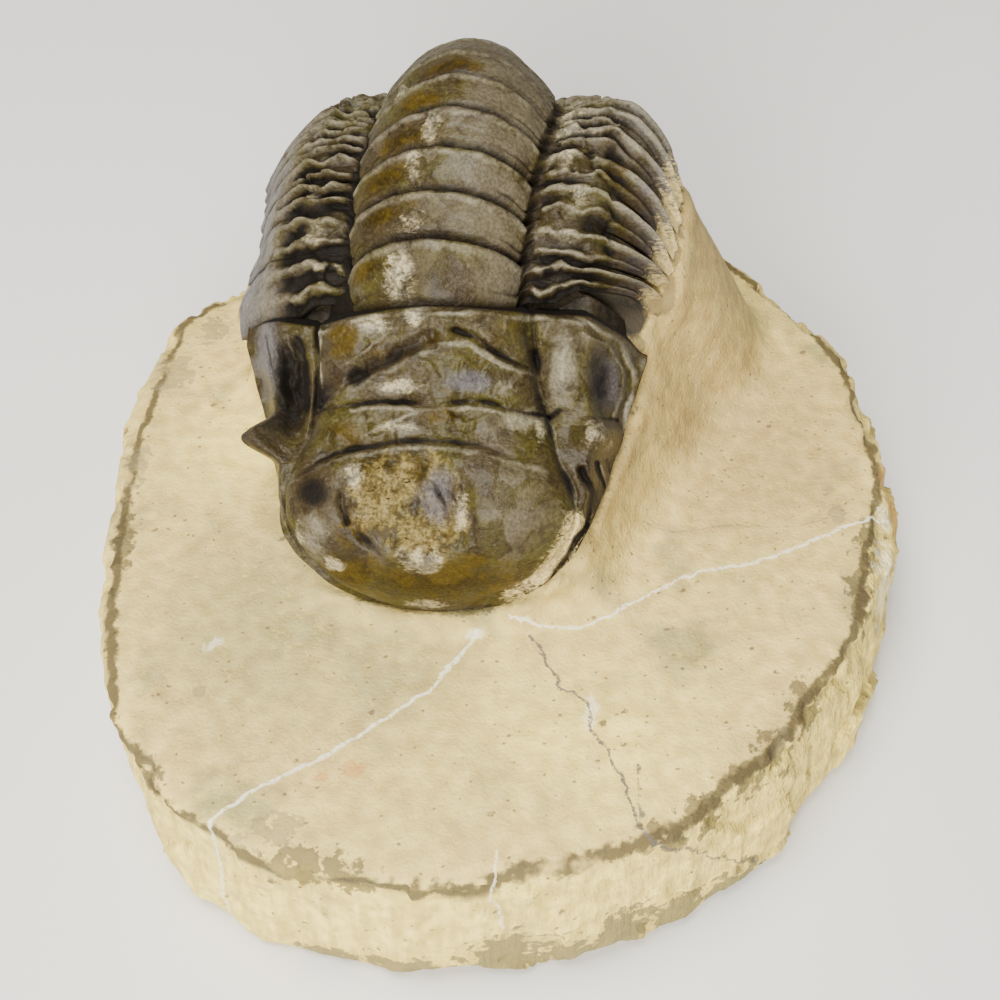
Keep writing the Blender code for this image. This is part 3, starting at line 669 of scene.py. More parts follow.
def shifted_arc(arc, column):
    """Distance along the back after the bow of the axis and the fan of the blades."""
    middle = np.clip(column / AXIS, -1.0, 1.0)
    front = 1.0 - ease(arc / 3.2)
    bow = 0.4 - 1.2 * front - np.where(column < 0.0, 3.0, 1.8) * (1.0 - 0.7 * front) * middle ** 2
    bow = bow * (1.0 - ease((np.abs(column) - AXIS + 0.35) / 0.5)) * (1.0 - ease((arc - 22.0) / 14.0))
    tip = tip_share(column)
    spread = np.where(column > 0.0, 3.2, 1.2) * ease((arc - 2.0) / 12.0)
    spread = spread * (1.0 - ease((arc - 26.0) / 12.0))
    return arc + bow - TIP_SWEEP * tip ** 2 - spread * tip ** 1.3


def on_body(start, end, column, share, height):
    """World places on the thorax for a column, a share of the segment's length and a height."""
    narrowing = np.where(column > 0.0, TIP_NARROWING, 0.12)
    width = 1.0 - narrowing * np.minimum(1.0, tip_share(column))
    arc = shifted_arc(start + (end - start) * (0.5 + (share - 0.5) * width), column)
    x, y, out_x, out_y = section_at(column)
    side = np.abs(column)
    crest = bell(arc - 25.0, 17.0)
    x = x * (1.0 + 0.11 * crest * (1.0 - ease((side - AXIS) / 2.5)))
    wide = np.where(column < 0.0, 0.16, 0.0) * bell(arc - 8.0, 13.0)
    x = x * (1.0 + wide * ease(side / 2.0) * (1.0 - ease((side - AXIS) / 5.0)))
    narrow = 0.035 * np.where(column < 0.0, 1.0, 0.0) * ease(side / AXIS)
    x = x * (1.0 - narrow * (1.0 - ease((arc - 4) / 8)))
    y = y - 1.15 * crest * ease(side / 2.6) * (1.0 - ease((side - AXIS) / 1.6))
    y = y + 0.35 * crest * (1.0 - ease(side / 2.0))
    right = right_side(column)
    y = y - (1.3 - 0.5 * right) * crest * bell(side - 4.2, 1.5)
    y = y + 0.9 * right * crest * bell(side - 6.2, 1.8)
    x = x + out_x * height
    y = y + out_y * height
    return on_back(arc, x * body_width(arc), y * (0.45 + 0.55 * body_width(arc)))


# %% [markdown]
# One segment of the thorax
#
# Each ring starts low, because it slid under its neighbour when the animal rolled up, and rises to
# a thin rear lip; the low front is given painted shade and the lip a pale stripe of painted
# highlight. Each pleura has two ribs near the axis, which join to one blade beyond the bend. On
# the left the blades are worn to one smooth flank; on the right they stand apart. All segments
# come from one function, and noise tied to the world keeps them different.

# %% Patches of colour on the rings
# Each patch: segment, column and share, then half size in columns and share
BODY_WHITE = ((1, -0.9, 0.4, 0.7, 0.5), (2, -0.5, 0.3, 0.5, 0.4), (1, -3.6, 0.6, 0.6, 0.3),
              (4, -0.35, 0.45, 0.3, 0.6), (3, -0.6, 0.5, 0.28, 0.6), (1, 3.9, 0.5, 0.5, 0.4),
              (3, 4.3, 0.6, 0.5, 0.4), (4, 3.8, 0.5, 0.4, 0.4), (2, -4.1, 0.4, 0.5, 0.3),
              (3, -4.3, 0.5, 0.4, 0.3), (2, 4.2, 0.5, 0.5, 0.3), (6, -1.6, 0.4, 0.4, 0.4),
              (5, 3.6, 0.6, 0.7, 0.5), (6, 3.5, 0.5, 0.6, 0.5))
BODY_AMBER = ((5, -0.8, 0.4, 1.0, 0.4), (4, -0.95, 0.42, 1.1, 0.45), (3, -1.3, 0.5, 1.2, 0.4),
              (6, -0.2, 0.4, 1.0, 0.35), (4, 5.3, 0.5, 0.6, 0.6), (5, 6.2, 0.4, 0.5, 0.5),
              (2, -1.4, 0.62, 1.4, 0.3), (1, -1.6, 0.7, 1.2, 0.25))
BODY_BEIGE = ((1, 1.8, 0.5, 1.6, 0.8), (2, 1.6, 0.5, 1.8, 0.8), (3, 1.2, 0.5, 2.2, 0.8),
              (4, 1.4, 0.5, 2.2, 0.8), (5, 1.6, 0.5, 2.0, 0.8), (6, 1.5, 0.5, 2.0, 0.8),
              (7, 1.5, 0.5, 2.0, 0.8), (2, 4.0, 0.5, 1.2, 0.6), (2, 6.6, 0.5, 1.8, 0.6),
              (3, 6.6, 0.5, 1.8, 0.6), (4, 7.0, 0.5, 1.4, 0.6), (7, 0.3, 0.5, 3.0, 0.8),
              (8, 0.3, 0.5, 3.0, 0.8))
WHITE_STRENGTH = 0.85
GREY_STRENGTH = 0.85


def body_patches(number, column, share, places):
    """The strongest of a ring's own patches."""
    own = [((centre, along), (wide, deep)) for segment, centre, along, wide, deep in places
           if segment == number]
    return ovals(column, share, own)


print("patches on the rings:", len(BODY_WHITE + BODY_AMBER + BODY_BEIGE))

# %% Relief of a segment
SEGMENT_COLUMNS = 225
SEGMENT_ROWS = 26
LOWEST_RELIEF = -1.05


def ring_relief(column, share):
    """The axial ring: height, painted shade on its low front, its groove and its rear drop, and a pale lip
    stripe of painted highlight.
    """
    lip = bell(share - 0.88, 0.12)
    rise = -0.62 + 0.55 * ease(share / 0.3) + 0.25 * ease((share - 0.25) / 0.6) + 0.12 * lip
    rise = rise - 0.7 * ease((share - 0.955) / 0.045)
    groove = bell(share - 0.27 - 0.04 * np.abs(column), 0.07) * ease((np.abs(column) - 0.6) / 1.6)
    hollow_shade = np.maximum(0.8 * bell(share, 0.08), 0.45 * groove)
    hollow_shade = np.maximum(hollow_shade, 0.5 * bell(share - 0.08, 0.3))
    hollow_shade = np.maximum(hollow_shade, ease((share - 0.975) / 0.025))
    lip_highlight = (0.42 - 0.15 * ease(column / 2.0)) * bell(share - 0.86, 0.17)
    return rise - 0.22 * groove, hollow_shade, lip_highlight


def rib_relief(column, share, number, filled):
    """The inner pleura with its two knotty ribs; some of the gaps are filled."""
    jitter = 0.05 * math.sin(number * 2.7)
    right = right_side(column)
    first = bell(share - 0.24 - jitter, 0.17)
    second = bell(share - 0.72 - jitter * 0.5, 0.2)
    ribs = np.maximum(first * 0.85, second)
    knots = bell(np.abs(column) - 3.75, 0.45) + bell(np.abs(column) - 4.75, 0.4)
    depth = (1.1 - 0.35 * right) * (1.0 - 0.6 * filled)
    height = depth * (ribs - 1.0) + 0.05 + 0.2 * knots * ribs
    # The gaps between the ribs get painted shade; the rib tops a pale colour that is partly painted
    # highlight
    hollow_shade = (1.0 - ease(ribs * 1.35)) * (1.0 - 0.2 * right) * (1.0 - 0.6 * filled)
    return height, hollow_shade, ease(ribs * 1.8 - 0.7) * (0.45 + 0.2 * right)


def blade_relief(column, share):
    """The outer pleura: thin ribs over hollows on the right, worn smooth on the left."""
    right = right_side(column)
    rounded = np.sqrt(np.clip(1.0 - ((share - 0.5) / 0.52) ** 2, 0.0, 1.0))
    ridge = bell(share - 0.68, 0.19)
    front = 0.5 * bell(share - 0.2, 0.12) * (1.0 - ease((np.abs(column) - 6.0) / 1.2))
    apart = 0.95 * (np.maximum(ridge, front) - 1.0) + 0.25
    height = apart * right + (0.25 * (rounded - 1.0) + 0.05) * (1.0 - right)
    # Painted shade between the right blades and on the sides of the worn left ones; the pale ridges and
    # rounded left tops are partly painted highlight
    gap = 1.0 - ease(np.maximum(ridge, front) * 1.8)
    hollow_shade = gap * right * 0.6 + (1.0 - ease(rounded * 2.0)) * 0.4 * (1.0 - right)
    crest = ease(ridge * 1.5 - 0.4) * right + 0.55 * ease(rounded * 1.6 - 0.4) * (1.0 - right)
    return height, hollow_shade, crest


def segment_relief(column, share, number, filled):
    """Ring, ribs and blade blended into each other, with the furrow beside the axis."""
    side = np.abs(column)
    ring, blade = ring_relief(column, share), blade_relief(column, share)
    ribs = rib_relief(column, share, number, filled)
    to_ribs = ease((side - AXIS) / 0.3)
    bend = np.where(column > 0.0, 5.2, 5.5)
    to_blade = ease((side - bend + 0.3) / 0.9)
    height, hollow_shade, crest = ((a * (1.0 - to_ribs) + b * to_ribs) * (1.0 - to_blade) + c * to_blade
                             for a, b, c in zip(ring, ribs, blade))
    furrow = bell(side - AXIS, 0.34) * (1.0 - 0.4 * bell(share - 0.62, 0.18))
    height = height - 0.5 * furrow
    # The furrow beside the axis gets painted shade
    dark = np.where(column > 0.0, 0.6, 0.95) * furrow
    return height, np.maximum(hollow_shade, dark), crest * (1.0 - furrow)


# %% Build the segments
def segment_start(number, column):
    """Where a ring starts on the back. The first one goes round the head's rear corners."""
    start = (number - 1) * RING_PITCH + GAP * (0.1 if number > 1 else -0.9)
    if number == 1:
        start = start - np.where(column < 0.0, 0.9, 0.0) * ease((np.abs(column) - 4.2) / 0.8)
        start = start + 1.2 * ease((column - 3.9) / 0.9) * (1.0 - 0.7 * ease((column - 6.4) / 1.0))
    return start


def segment_masks(number, column, share, under, hollow_shade, crest):
    """Painted shade in the hollows and under the plates, pale crests that are partly painted highlight,
    amber glass between the right blades, stone dust on their tips.
    """
    tip = tip_share(column)
    dust = right_side(column) * ease((tip - 0.5) / 0.45)
    dust = dust * np.where(under, 1.0, 0.5 + 0.5 * ease(hollow_shade * 2.0 + 2.0 * tip - 1.4))
    hollow_shade = hollow_shade * (1.0 - 0.8 * dust)
    glassy = right_side(column) * ease((np.abs(column) - 5.4) / 0.6) * (1.0 - dust)
    glass = np.minimum(1.0, 1.6 * hollow_shade * glassy)
    hollow_shade = hollow_shade * (1.0 - 0.45 * glassy)
    return {
        # The inner sides get painted shade, less where stone dust lies
        "hollow_shade": np.where(under, 0.8 - 0.8 * dust, np.clip(hollow_shade, 0.0, 1.0)),
        "crest": np.where(under, 0.0, crest), "peeled": np.zeros(len(column)),
        "white": WHITE_STRENGTH * body_patches(number, column, share, BODY_WHITE), "dust": dust,
        "amber": np.maximum(body_patches(number, column, share, BODY_AMBER), glass),
        "beige": body_patches(number, column, share, BODY_BEIGE), "grey": GREY_STRENGTH * tip,
    }


def build_segment(number):
    """A ring with both pleurae. Its noise is taken at its resting place in the world."""
    data = plate(SEGMENT_COLUMNS, SEGMENT_ROWS)
    grid = places_of(data)
    column, share, under = (grid[:, 0] * 2.0 - 1.0) * LAST, grid[:, 1], grid[:, 2] < -0.5
    start, end = segment_start(number, column), number * RING_PITCH + GAP * 0.3
    rest = on_body(start, end, column, share, np.zeros(len(column)))
    inner = ease((np.abs(column) - AXIS + 0.2) / 0.3) * (1.0 - ease((np.abs(column) - FULCRUM) / 0.8))
    ragged = share + (0.03 + 0.18 * inner) * weathering(rest, 1.5, 3, 30 + number)
    filled = np.clip(0.3 + 2.2 * weathering(rest, 2.4, 2, 26), 0.0, 1.0)
    height, hollow_shade, crest = segment_relief(column, ragged, number, filled)
    arc = start + (end - start) * share
    crystal = flakes(SECTION_X(column) + 0.4 * weathering(rest, 1.2, 2, 24), arc * 1.3, 1.5, 25)
    height += (0.06 + 0.14 * inner) * crystal
    height += 0.07 * weathering(rest, 2.6, 3, 21) + 0.04 * weathering(rest, 0.8, 3, 22)
    chips = ease((weathering(rest, 1.7, 3, 23) - 0.3) / 0.25)
    height -= 0.4 * chips * inner + 0.08 * chips
    # Chipped pits get painted shade
    hollow_shade = np.maximum(hollow_shade, 0.8 * chips * inner)
    tip = tip_share(column)
    height -= right_side(column) * np.clip((tip - 0.5) / 0.5, 0.0, 1.0) ** 1.5
    lower = -(SHELL + (1.0 - SHELL) * np.minimum(1.0, tip))
    height = np.where(under, lower, np.maximum(height, LOWEST_RELIEF))
    masks = segment_masks(number, column, share, under, hollow_shade, crest)
    covering = 1.0 - ease((np.abs(column) - 4.6) / 0.8)
    places = on_body(start, end, column, share, height)
    return piece_from(data, f"thorax_ring_{number:02d}", places, masks, ~under, covering)


thorax_rings = [build_segment(number) for number in range(1, SEGMENTS + 1)]

# %% [markdown]
# The tail shield
#
# The pygidium is one small plate with fading rings and, on each side, three pointed spines. The
# plate is bent like a segment. Each spine is a cone that is subdivided along its length, so that
# noise can make it a little uneven, and it is joined to the plate by standing deep in it.

# %% Shape of the tail and its spines
TAIL_COLUMNS = 160
TAIL_ROWS = 60
TAIL_LENGTH = 5.2
# Each pair of spines: column, share of the length and how far it stands out
TAIL_SPINES = ((6.9, 0.45, 5.6), (4.7, 0.78, 4.9), (1.7, 0.9, 4.2))
SPINE_RADIUS = 1.0
SPINE_TIP = 0.25
SPINE_ROOT = 1.6
SPINE_DEPTH = 0.8


def on_tail(column, share, height):
    """World places on the tail for a column, a share of its length and a height."""
    given = (column, share, height)
    column, share, height = (np.atleast_1d(np.asarray(value, dtype=float)) for value in given)
    arc = SEGMENTS * RING_PITCH + GAP / 2 + TAIL_LENGTH * share
    x, y, out_x, out_y = section_at(column)
    taper = (1.0 - 0.62 * share ** 2) * float(body_width(SEGMENTS * RING_PITCH))
    return on_back(arc, (x + out_x * height) * taper, (y + out_y * height) * (0.66 - 0.34 * share))


def tail_spine(column, share, length):
    """A tapered spine as a bmesh in millimetres."""
    base = on_tail(column, share, -SPINE_DEPTH)[0]
    middle = on_tail(0.0, share, -SPINE_DEPTH)[0]
    backwards = on_tail(0.0, 1.0, 0.0)[0] - on_tail(0.0, 0.8, 0.0)[0]
    outwards = on_tail(0.0, 1.0, 0.0)[0] - on_tail(0.0, 1.0, -1.0)[0]
    aim = Vector(backwards).normalized() + Vector(base - middle) * 0.075
    aim = (aim + Vector(outwards).normalized() * 0.34).normalized()
    spine = bmesh.new()
    bmesh.ops.create_cone(spine, segments=20, radius1=SPINE_RADIUS, radius2=SPINE_TIP,
                          depth=length + SPINE_ROOT, cap_ends=True)
    sides = [edge for edge in spine.edges if abs(edge.verts[0].co.z - edge.verts[1].co.z) > 1.0]
    bmesh.ops.subdivide_edges(spine, edges=sides, cuts=14)
    turn = aim.to_track_quat("Z", "Y").to_matrix().to_4x4()
    turn.translation = Vector(base) + aim * (length - SPINE_ROOT) * 0.5
    bmesh.ops.transform(spine, matrix=turn, verts=spine.verts)
    return spine


# %% Build the tail
def add_spines(data):
    """Stand the six spines in the tail's mesh, in millimetres."""
    mesh = bmesh.new()
    mesh.from_mesh(data)
    for spine_column, spine_share, length in TAIL_SPINES:
        for side in (-1.0, 1.0):
            spine = tail_spine(spine_column * side, spine_share, length)
            loose = bpy.data.meshes.new("spine")
            spine.to_mesh(loose)
            spine.free()
            mesh.from_mesh(loose)
            bpy.data.meshes.remove(loose)
    mesh.to_mesh(data)
    mesh.free()


def build_tail():
    """The plate with its fading rings, then the spines, which get masks of their own."""
    data = plate(TAIL_COLUMNS, TAIL_ROWS)
    grid = places_of(data)
    column, share, under = (grid[:, 0] * 2.0 - 1.0) * LAST, grid[:, 1], grid[:, 2] < -0.5
    rest = on_tail(column, share, 0.0)
    rings = np.cos(2.0 * math.pi * 2.5 * share) * (1.0 - share)
    furrow = bell(np.abs(column) - AXIS, 0.5) * (1.0 - share)
    height = 0.45 * rings - 0.3 - 0.5 * furrow + 0.1 * weathering(rest, 2.0, 3, 41)
    height += 0.06 * weathering(rest, 0.7, 3, 42)
    hollow_shade = np.clip(np.maximum(-rings, furrow), 0.0, 1.0)
    height = np.where(under, -(SHELL + (0.9 - SHELL) * tip_share(column)), height)
    data.vertices.foreach_set("co", on_tail(column, share, height).ravel())
    add_spines(data)
    places = places_of(data)
    first = len(hollow_shade)
    places[first:] += 0.05 * weathering(places[first:], 0.8, 3, 43)[:, None]
    extra = len(places) - first
    masks = dict.fromkeys(("peeled", "white", "amber", "beige", "grey", "dust"), np.zeros(len(places)))
    # Painted shade under the plate and in its ring furrows; a pale crest, partly painted highlight, on the
    # ring tops and spines
    masks["hollow_shade"] = np.concatenate((np.where(under, 0.8, hollow_shade), np.full(extra, 0.1)))
    masks["crest"] = np.concatenate((np.clip(rings, 0.0, 1.0) * 0.6, np.full(extra, 0.5)))
    top = np.concatenate((~under, np.zeros(extra, dtype=bool)))
    return piece_from(data, "tail_shield", places, masks, top)


tail_shield = build_tail()

# %% [markdown]
# The stone
#
# The rock has flat facets in the plain model. A copy of it is merged and wrapped in an even skin
# of small faces, which can be worn and chipped. Near the fossil the skin is pushed towards the
# shell, because real rock touches it, and on the right it laps over the tips of the blades.

# %% Wrap the plain rock in a fine skin
SKIN_SIZE = 0.45


def evaluated_copy(thing, name):
    """A thing's mesh as it is after its modifiers."""
    bpy.context.view_layer.update()
    seen = thing.evaluated_get(bpy.context.evaluated_depsgraph_get())
    data = bpy.data.meshes.new_from_object(seen)
    data.name = name
    return data


def rock_skin():
    """The plain rock, merged and wrapped in small even faces."""
    mesh = bmesh.new()
    mesh.from_mesh(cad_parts["matrix"].data)
    bmesh.ops.remove_doubles(mesh, verts=mesh.verts, dist=0.002 * MM)
    data = bpy.data.meshes.new("rock copy")
    mesh.to_mesh(data)
    mesh.free()
    block = bpy.data.objects.new("rock copy", data)
    bpy.context.collection.objects.link(block)
    wrap = block.modifiers.new("even skin", "REMESH")
    wrap.mode = "VOXEL"
    wrap.voxel_size = SKIN_SIZE * MM
    soften = block.modifiers.new("soften facets", "SMOOTH")
    soften.factor = 0.5
    soften.iterations = 10
    skin = evaluated_copy(block, "rock skin")
    bpy.data.objects.remove(block)
    return skin


rock = rock_skin()
print("rock skin:", len(rock.polygons), "faces")

# %% Distances from the rock to the fossil
FAR_CLEAR = 6.0


def cover_of(points):
    """How far each place lies beneath the fossil's skin, and 1 where that is far from an edge."""
    places, outs, inner = (np.concatenate([skin[index] for skin in FOSSIL_SKIN]) for index in range(3))
    tree = KDTree(len(places))
    for index, place in enumerate(places):
        tree.insert(place, index)
    tree.balance()
    nearest = np.array([tree.find(point)[1] for point in points])
    depth = -np.einsum("ij,ij->i", points - places[nearest], outs[nearest])
    return depth, inner[nearest]


def clearance_of(points):
    """Distance of each place from the plain fossil's solids, up to a limit."""
    solids = bmesh.new()
    for name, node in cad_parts.items():
        if name != "matrix":
            solids.from_mesh(node.data)
    bmesh.ops.scale(solids, vec=(1.0 / MM, 1.0 / MM, 1.0 / MM), verts=solids.verts)
    tree = BVHTree.FromBMesh(solids)
    solids.free()
    return np.array([tree.find_nearest(Vector(point), FAR_CLEAR)[3] or FAR_CLEAR for point in points])


rock_places = places_of(rock) / MM
rock_gap = clearance_of(rock_places)
rock_depth, rock_inner = cover_of(rock_places)
print("rock under the shell:", int((rock_depth > 0.4).sum()), "points")

# %% The outline of the stone
STONE_HEIGHT = 16.0
STONE_RIM = ((-31, -6), (-29.4, -17), (-24.8, -25.4), (-17, -30.6), (-6.3, -32.9), (5.3, -31.6),
             (13.5, -28.2), (20.2, -22.8), (26.6, -14.6), (30.4, -5), (31, 5), (29.7, 14.5), (25, 22.6),
             (19, 29), (10, 33.9), (-3, 35.8), (-14.5, 31.2), (-22.6, 24.4), (-28.2, 19.6), (-31, 8))
# Where the ground top ends and its brown rind shows
RIND_LINE = ((-29.6, 5), (-29.7, -5), (-29.3, -12), (-27.9, -20.2), (-25.3, -23.5), (-24.7, -25.4),
             (-22.5, -27), (-20.1, -28.4), (-17.4, -30.3), (-14.4, -31.9), (-11.2, -32.2),
             (-6.3, -32.7), (-1.5, -32.5), (0.5, -31.7), (5.3, -31.1), (10, -29.4), (13.1, -28),
             (16.4, -24.9), (19.8, -22.6), (22.6, -18.3), (26.1, -14.1), (27.8, -9.1), (28.2, -6.3),
             (29.4, -3), (30.2, 1), (30.2, 6), (29, 14), (24.4, 22), (18.5, 28.4), (9.8, 33.2),
             (-3, 35), (-14, 30.6), (-22, 23.8), (-27.4, 19))
TOP_FALL = 1.5
TOP_FALL_RUN = 34.0
# The gaps beside the head as points in x and z, and how many points follow the head's edge
RIGHT_GAP = ((5.8, 31.6), (8.4, 30.0), (10.2, 28.4))
LEFT_GAP = ((-19.5, 26.5), (-17.4, 28.6), (-14.4, 30.4))
EDGE_SIDE = 14
EDGE_FRONT = 9


def inside_distance(x, y, outline):
    """Distance inwards from a closed outline, negative outside it."""
    ring = list(outline) + [outline[0]]
    distance = stroke_distance(x, y, ring)
    inside = np.zeros(len(x), dtype=bool)
    for (ax, ay), (bx, by) in zip(ring, ring[1:]):
        if ay != by:
            crosses = ((ay > y) != (by > y)) & (x < (bx - ax) * (y - ay) / (by - ay) + ax)
            inside ^= crosses
    return np.where(inside, distance, -distance)


def level_height(y, z):
    """Height as if the top were level; it falls a little towards the rear."""
    return z + TOP_FALL * ease(y / TOP_FALL_RUN)


def head_foot_distance(x, y):
    """Distance outwards from the head's edge as seen from above, nothing under the head."""
    left, front = np.full(EDGE_SIDE, -1.0), np.linspace(-1.0, 1.0, EDGE_FRONT)
    forwards = np.linspace(0.5, 1.0, EDGE_SIDE)
    column = np.concatenate((left, front, -left))
    share = np.concatenate((forwards, np.full(EDGE_FRONT, 1.0), forwards[::-1]))
    across, forward = head_frame_places(column, share)
    edge = on_head(across, forward, np.full(len(across), -5.0))[:, :2]
    middle = on_head(np.array([0.0]), np.array([14.0]), np.array([0.0]))[0, :2]
    outside = np.hypot(x - middle[0], y - middle[1]) > 8.5
    return np.where(outside, stroke_distance(x, y, [tuple(point) for point in edge]), 0.0)


def beside_head(places):
    """1 in the deep gaps between the cheeks and the first blades."""
    x, y, z = places.T
    right = stroke(x, z, RIGHT_GAP, 2.6)
    left = stroke(x, z, LEFT_GAP, 3.4)
    return np.maximum(right * bell(y - 6.8, 4.4), left * bell(y - 7.6, 4.6))


print("rock beside the head:", int((beside_head(rock_places) > 0.2).sum()), "points")

# %% [markdown]
# Wear, chips and tool marks
#
# The top was ground smooth, the sides were broken and pared with a chisel. So the top gets only
# low waves, the sides get flat facets and upright tool marks, and the rim is kept sharp but
# loses chips, most of all on the right. These moves are along the surface's own direction. Last,
# the ground is lowered in front of the head and where the right rim is pared.

# %% Moves of the stone's skin
def relaxed(data, places, weight, rounds):
    """Places drawn towards the middle of their neighbours, as far as the weight says."""
    ends = np.empty(len(data.edges) * 2, dtype=np.int32)
    data.edges.foreach_get("vertices", ends)
    first, second = ends.reshape(-1, 2).T
    count = np.bincount(ends, minlength=len(places))[:, None]
    for _ in range(rounds):
        total = np.stack([np.bincount(first, places[second, axis], len(places))
                          + np.bincount(second, places[first, axis], len(places))
                          for axis in range(3)], axis=-1)
        places = places + (total / count - places) * weight[:, None]
    return places


def towards_shell(places, gap):
    """How far the rock grows to the shell, sinks beneath it and swells over the right tips."""
    x, y, _ = places.T
    beneath = np.maximum(ease((rock_depth - 0.15) / 0.35), rock_inner)
    move = (0.62 - 1.1 * beneath) * ease(1.0 - (gap - 0.5) / 2.0)
    move -= (1.5 * np.maximum(move, 0.0) + 0.5) * beside_head(places)
    outside = ease((0.25 - rock_depth) / 0.5) * ease(1.0 - (gap - 0.6) / 2.4)
    over_tips = outside * ease((x - 8.0) / 3.0) * ease((y - 6.0) / 3.0) * ease((26.0 - y) / 6.0)
    return move + 1.25 * over_tips


def chisel_marks(places):
    """Flat facets, which fade before the seam at the rear, and upright strokes."""
    x, y, z = places.T
    around = np.arctan2(x, -y) * 30.0
    seam = ease((94.0 - np.abs(around)) / 3.0)
    upright = np.stack((x, y, z * 0.2), axis=-1)
    marks = 0.6 * flakes(around + 0.3 * z, z * 0.8, 6.5, 58) + 0.22 * flakes(around, z, 2.3, 59)
    return marks * seam + 0.3 * weathering(upright, 1.5, 3, 53) + 0.1 * weathering(places, 0.9, 2, 55)


def lapped(data, shaped, places, normals, gap):
    """The skin drawn smoothly over the tips of the right blades."""
    x, y, _ = places.T
    lap = ease((x - 7.0) / 2.0) * (0.4 + 0.6 * ease((y - 4.0) / 3.0)) * ease((y + 12.0) / 3.0)
    lap = lap * ease((28.0 - y) / 5.0) * ease(1.0 - (gap - 0.8) / 2.8)
    lap = lap * (1.0 - 0.8 * beside_head(places))
    shaped = relaxed(data, shaped, 0.6 * lap, 24)
    shaped += normals * (lap * 0.18 * weathering(places, 1.8, 3, 57))[:, None]
    return shaped


# %% Shape the stone
def shape_rock(data, places, gap):
    """The skin's new places, with masks of its sides, of the rim's distance and of its chips."""
    normals = normals_of(data)
    x, y, z = places.T
    inwards = inside_distance(x, y, STONE_RIM)
    beyond = -inside_distance(x, y, RIND_LINE)
    side = ease((0.75 - normals[:, 2]) / 0.45) * ease((1.8 - inwards) / 1.6)
    above_foot = ease((z - 0.4) / 1.2)
    move = towards_shell(places, gap)
    top = (1.0 - side) * (1.0 - ease(1.0 - gap / 1.5)) * above_foot
    move += top * (0.16 * weathering(places, 9.0, 3, 51) + 0.05 * weathering(places, 1.4, 3, 52))
    right = 1.0 + 0.6 * ease((x - 22.0) / 6.0)
    carved = chisel_marks(places)
    move += side * above_foot * right * carved
    rim = bell(inwards - 0.2, 1.5) * bell(level_height(y, z) - 15.4, 1.6)
    bites = ease((weathering(places, 2.8, 3, 56) + 0.25 * ease((x - 20.0) / 8.0) - 0.1) / 0.25)
    move += rim * (0.4 - 0.95 * bites)
    move -= 0.5 * bell(z - 0.5, 2.5) * side * ease(weathering(places, 4.0, 2, 60) * 3.0)
    move = np.where(z < 0.6, np.minimum(move, 0.0), move)
    shaped = lapped(data, places + normals * move[:, None], places, normals, gap)
    reach = head_foot_distance(shaped[:, 0], shaped[:, 1])
    left_front = ease((4.0 - shaped[:, 0]) / 3.0) * ease((2.0 - shaped[:, 1]) / 3.0)
    left_front = left_front * ease((reach - 0.3) / 0.6)
    low = np.minimum(shaped[:, 2], STONE_HEIGHT + 0.15 + 1.2 * (1.0 - ease(reach / 2.0)))
    shaped[:, 2] += (low - shaped[:, 2]) * left_front
    pared = STONE_HEIGHT - 0.1 - 1.1 * np.maximum(0.0, beyond) + 0.25 * carved
    facet = ease((x - 9.0) / 4.0) * ease((8.0 - y) / 4.0) * ease(beyond / 0.4)
    shaped[:, 2] += (np.minimum(shaped[:, 2], pared) - shaped[:, 2]) * facet
    shaped[:, 2] = np.where(z < 0.25, 0.0, np.maximum(shaped[:, 2], 0.0))
    return shaped, np.maximum(side, facet), -beyond, bites * rim


rock_places, rock_side, rock_inwards, rock_chips = shape_rock(rock, rock_places, rock_gap)
print("stone shaped, mm:", np.round(rock_places.min(axis=0), 1), np.round(rock_places.max(axis=0), 1))

# %% [markdown]
# Veins and cracks
#
# Thin white veins of calcite and a dark crack cross the stone. Painted on the mesh they would be
# as coarse as its faces. Instead each point keeps its signed distance from the line, which stays
# straight across a face, and the material draws a crisp line where the distance is almost zero.

# %% Lines on the stone, in millimetres
LEFT_VEIN = ((-1.5, -12.8), (-4.0, -16.2), (-5.0, -17.7), (-8.4, -20.2), (-11.8, -22.8), (-16.9, -25.7),
             (-20.1, -28.1), (-21.6, -32.0))
RIGHT_VEIN = ((0.4, -11.9), (2.8, -12.3), (6.1, -12.5), (8.8, -11.0), (11.5, -9.4), (15.0, -7.3),
              (19.8, -6.4), (26.1, -3.6), (31.5, -1.2))
CRACK = ((2.1, -13.0), (3.8, -16.1), (4.6, -17.8), (6.5, -19.0), (6.7, -21.4), (8.2, -23.9), (9.1, -26.9),
         (9.9, -28.9))
# On the steep front the second number is the height
SIDE_VEIN = ((-0.2, 16.0), (-0.7, 13.2), (-0.1, 11.5), (0.2, 9.2))
SIDE_CRACK = ((9.6, 16.0), (10.4, 15.3), (13.5, 12.4), (16.7, 7.2), (19.7, 2.9))
FINE_CRACK = ((10.9, -3.1), (14.0, -3.5), (17.5, -3.0), (23.6, -2.9), (27.5, -1.8))
FAR_OFF = 30.0


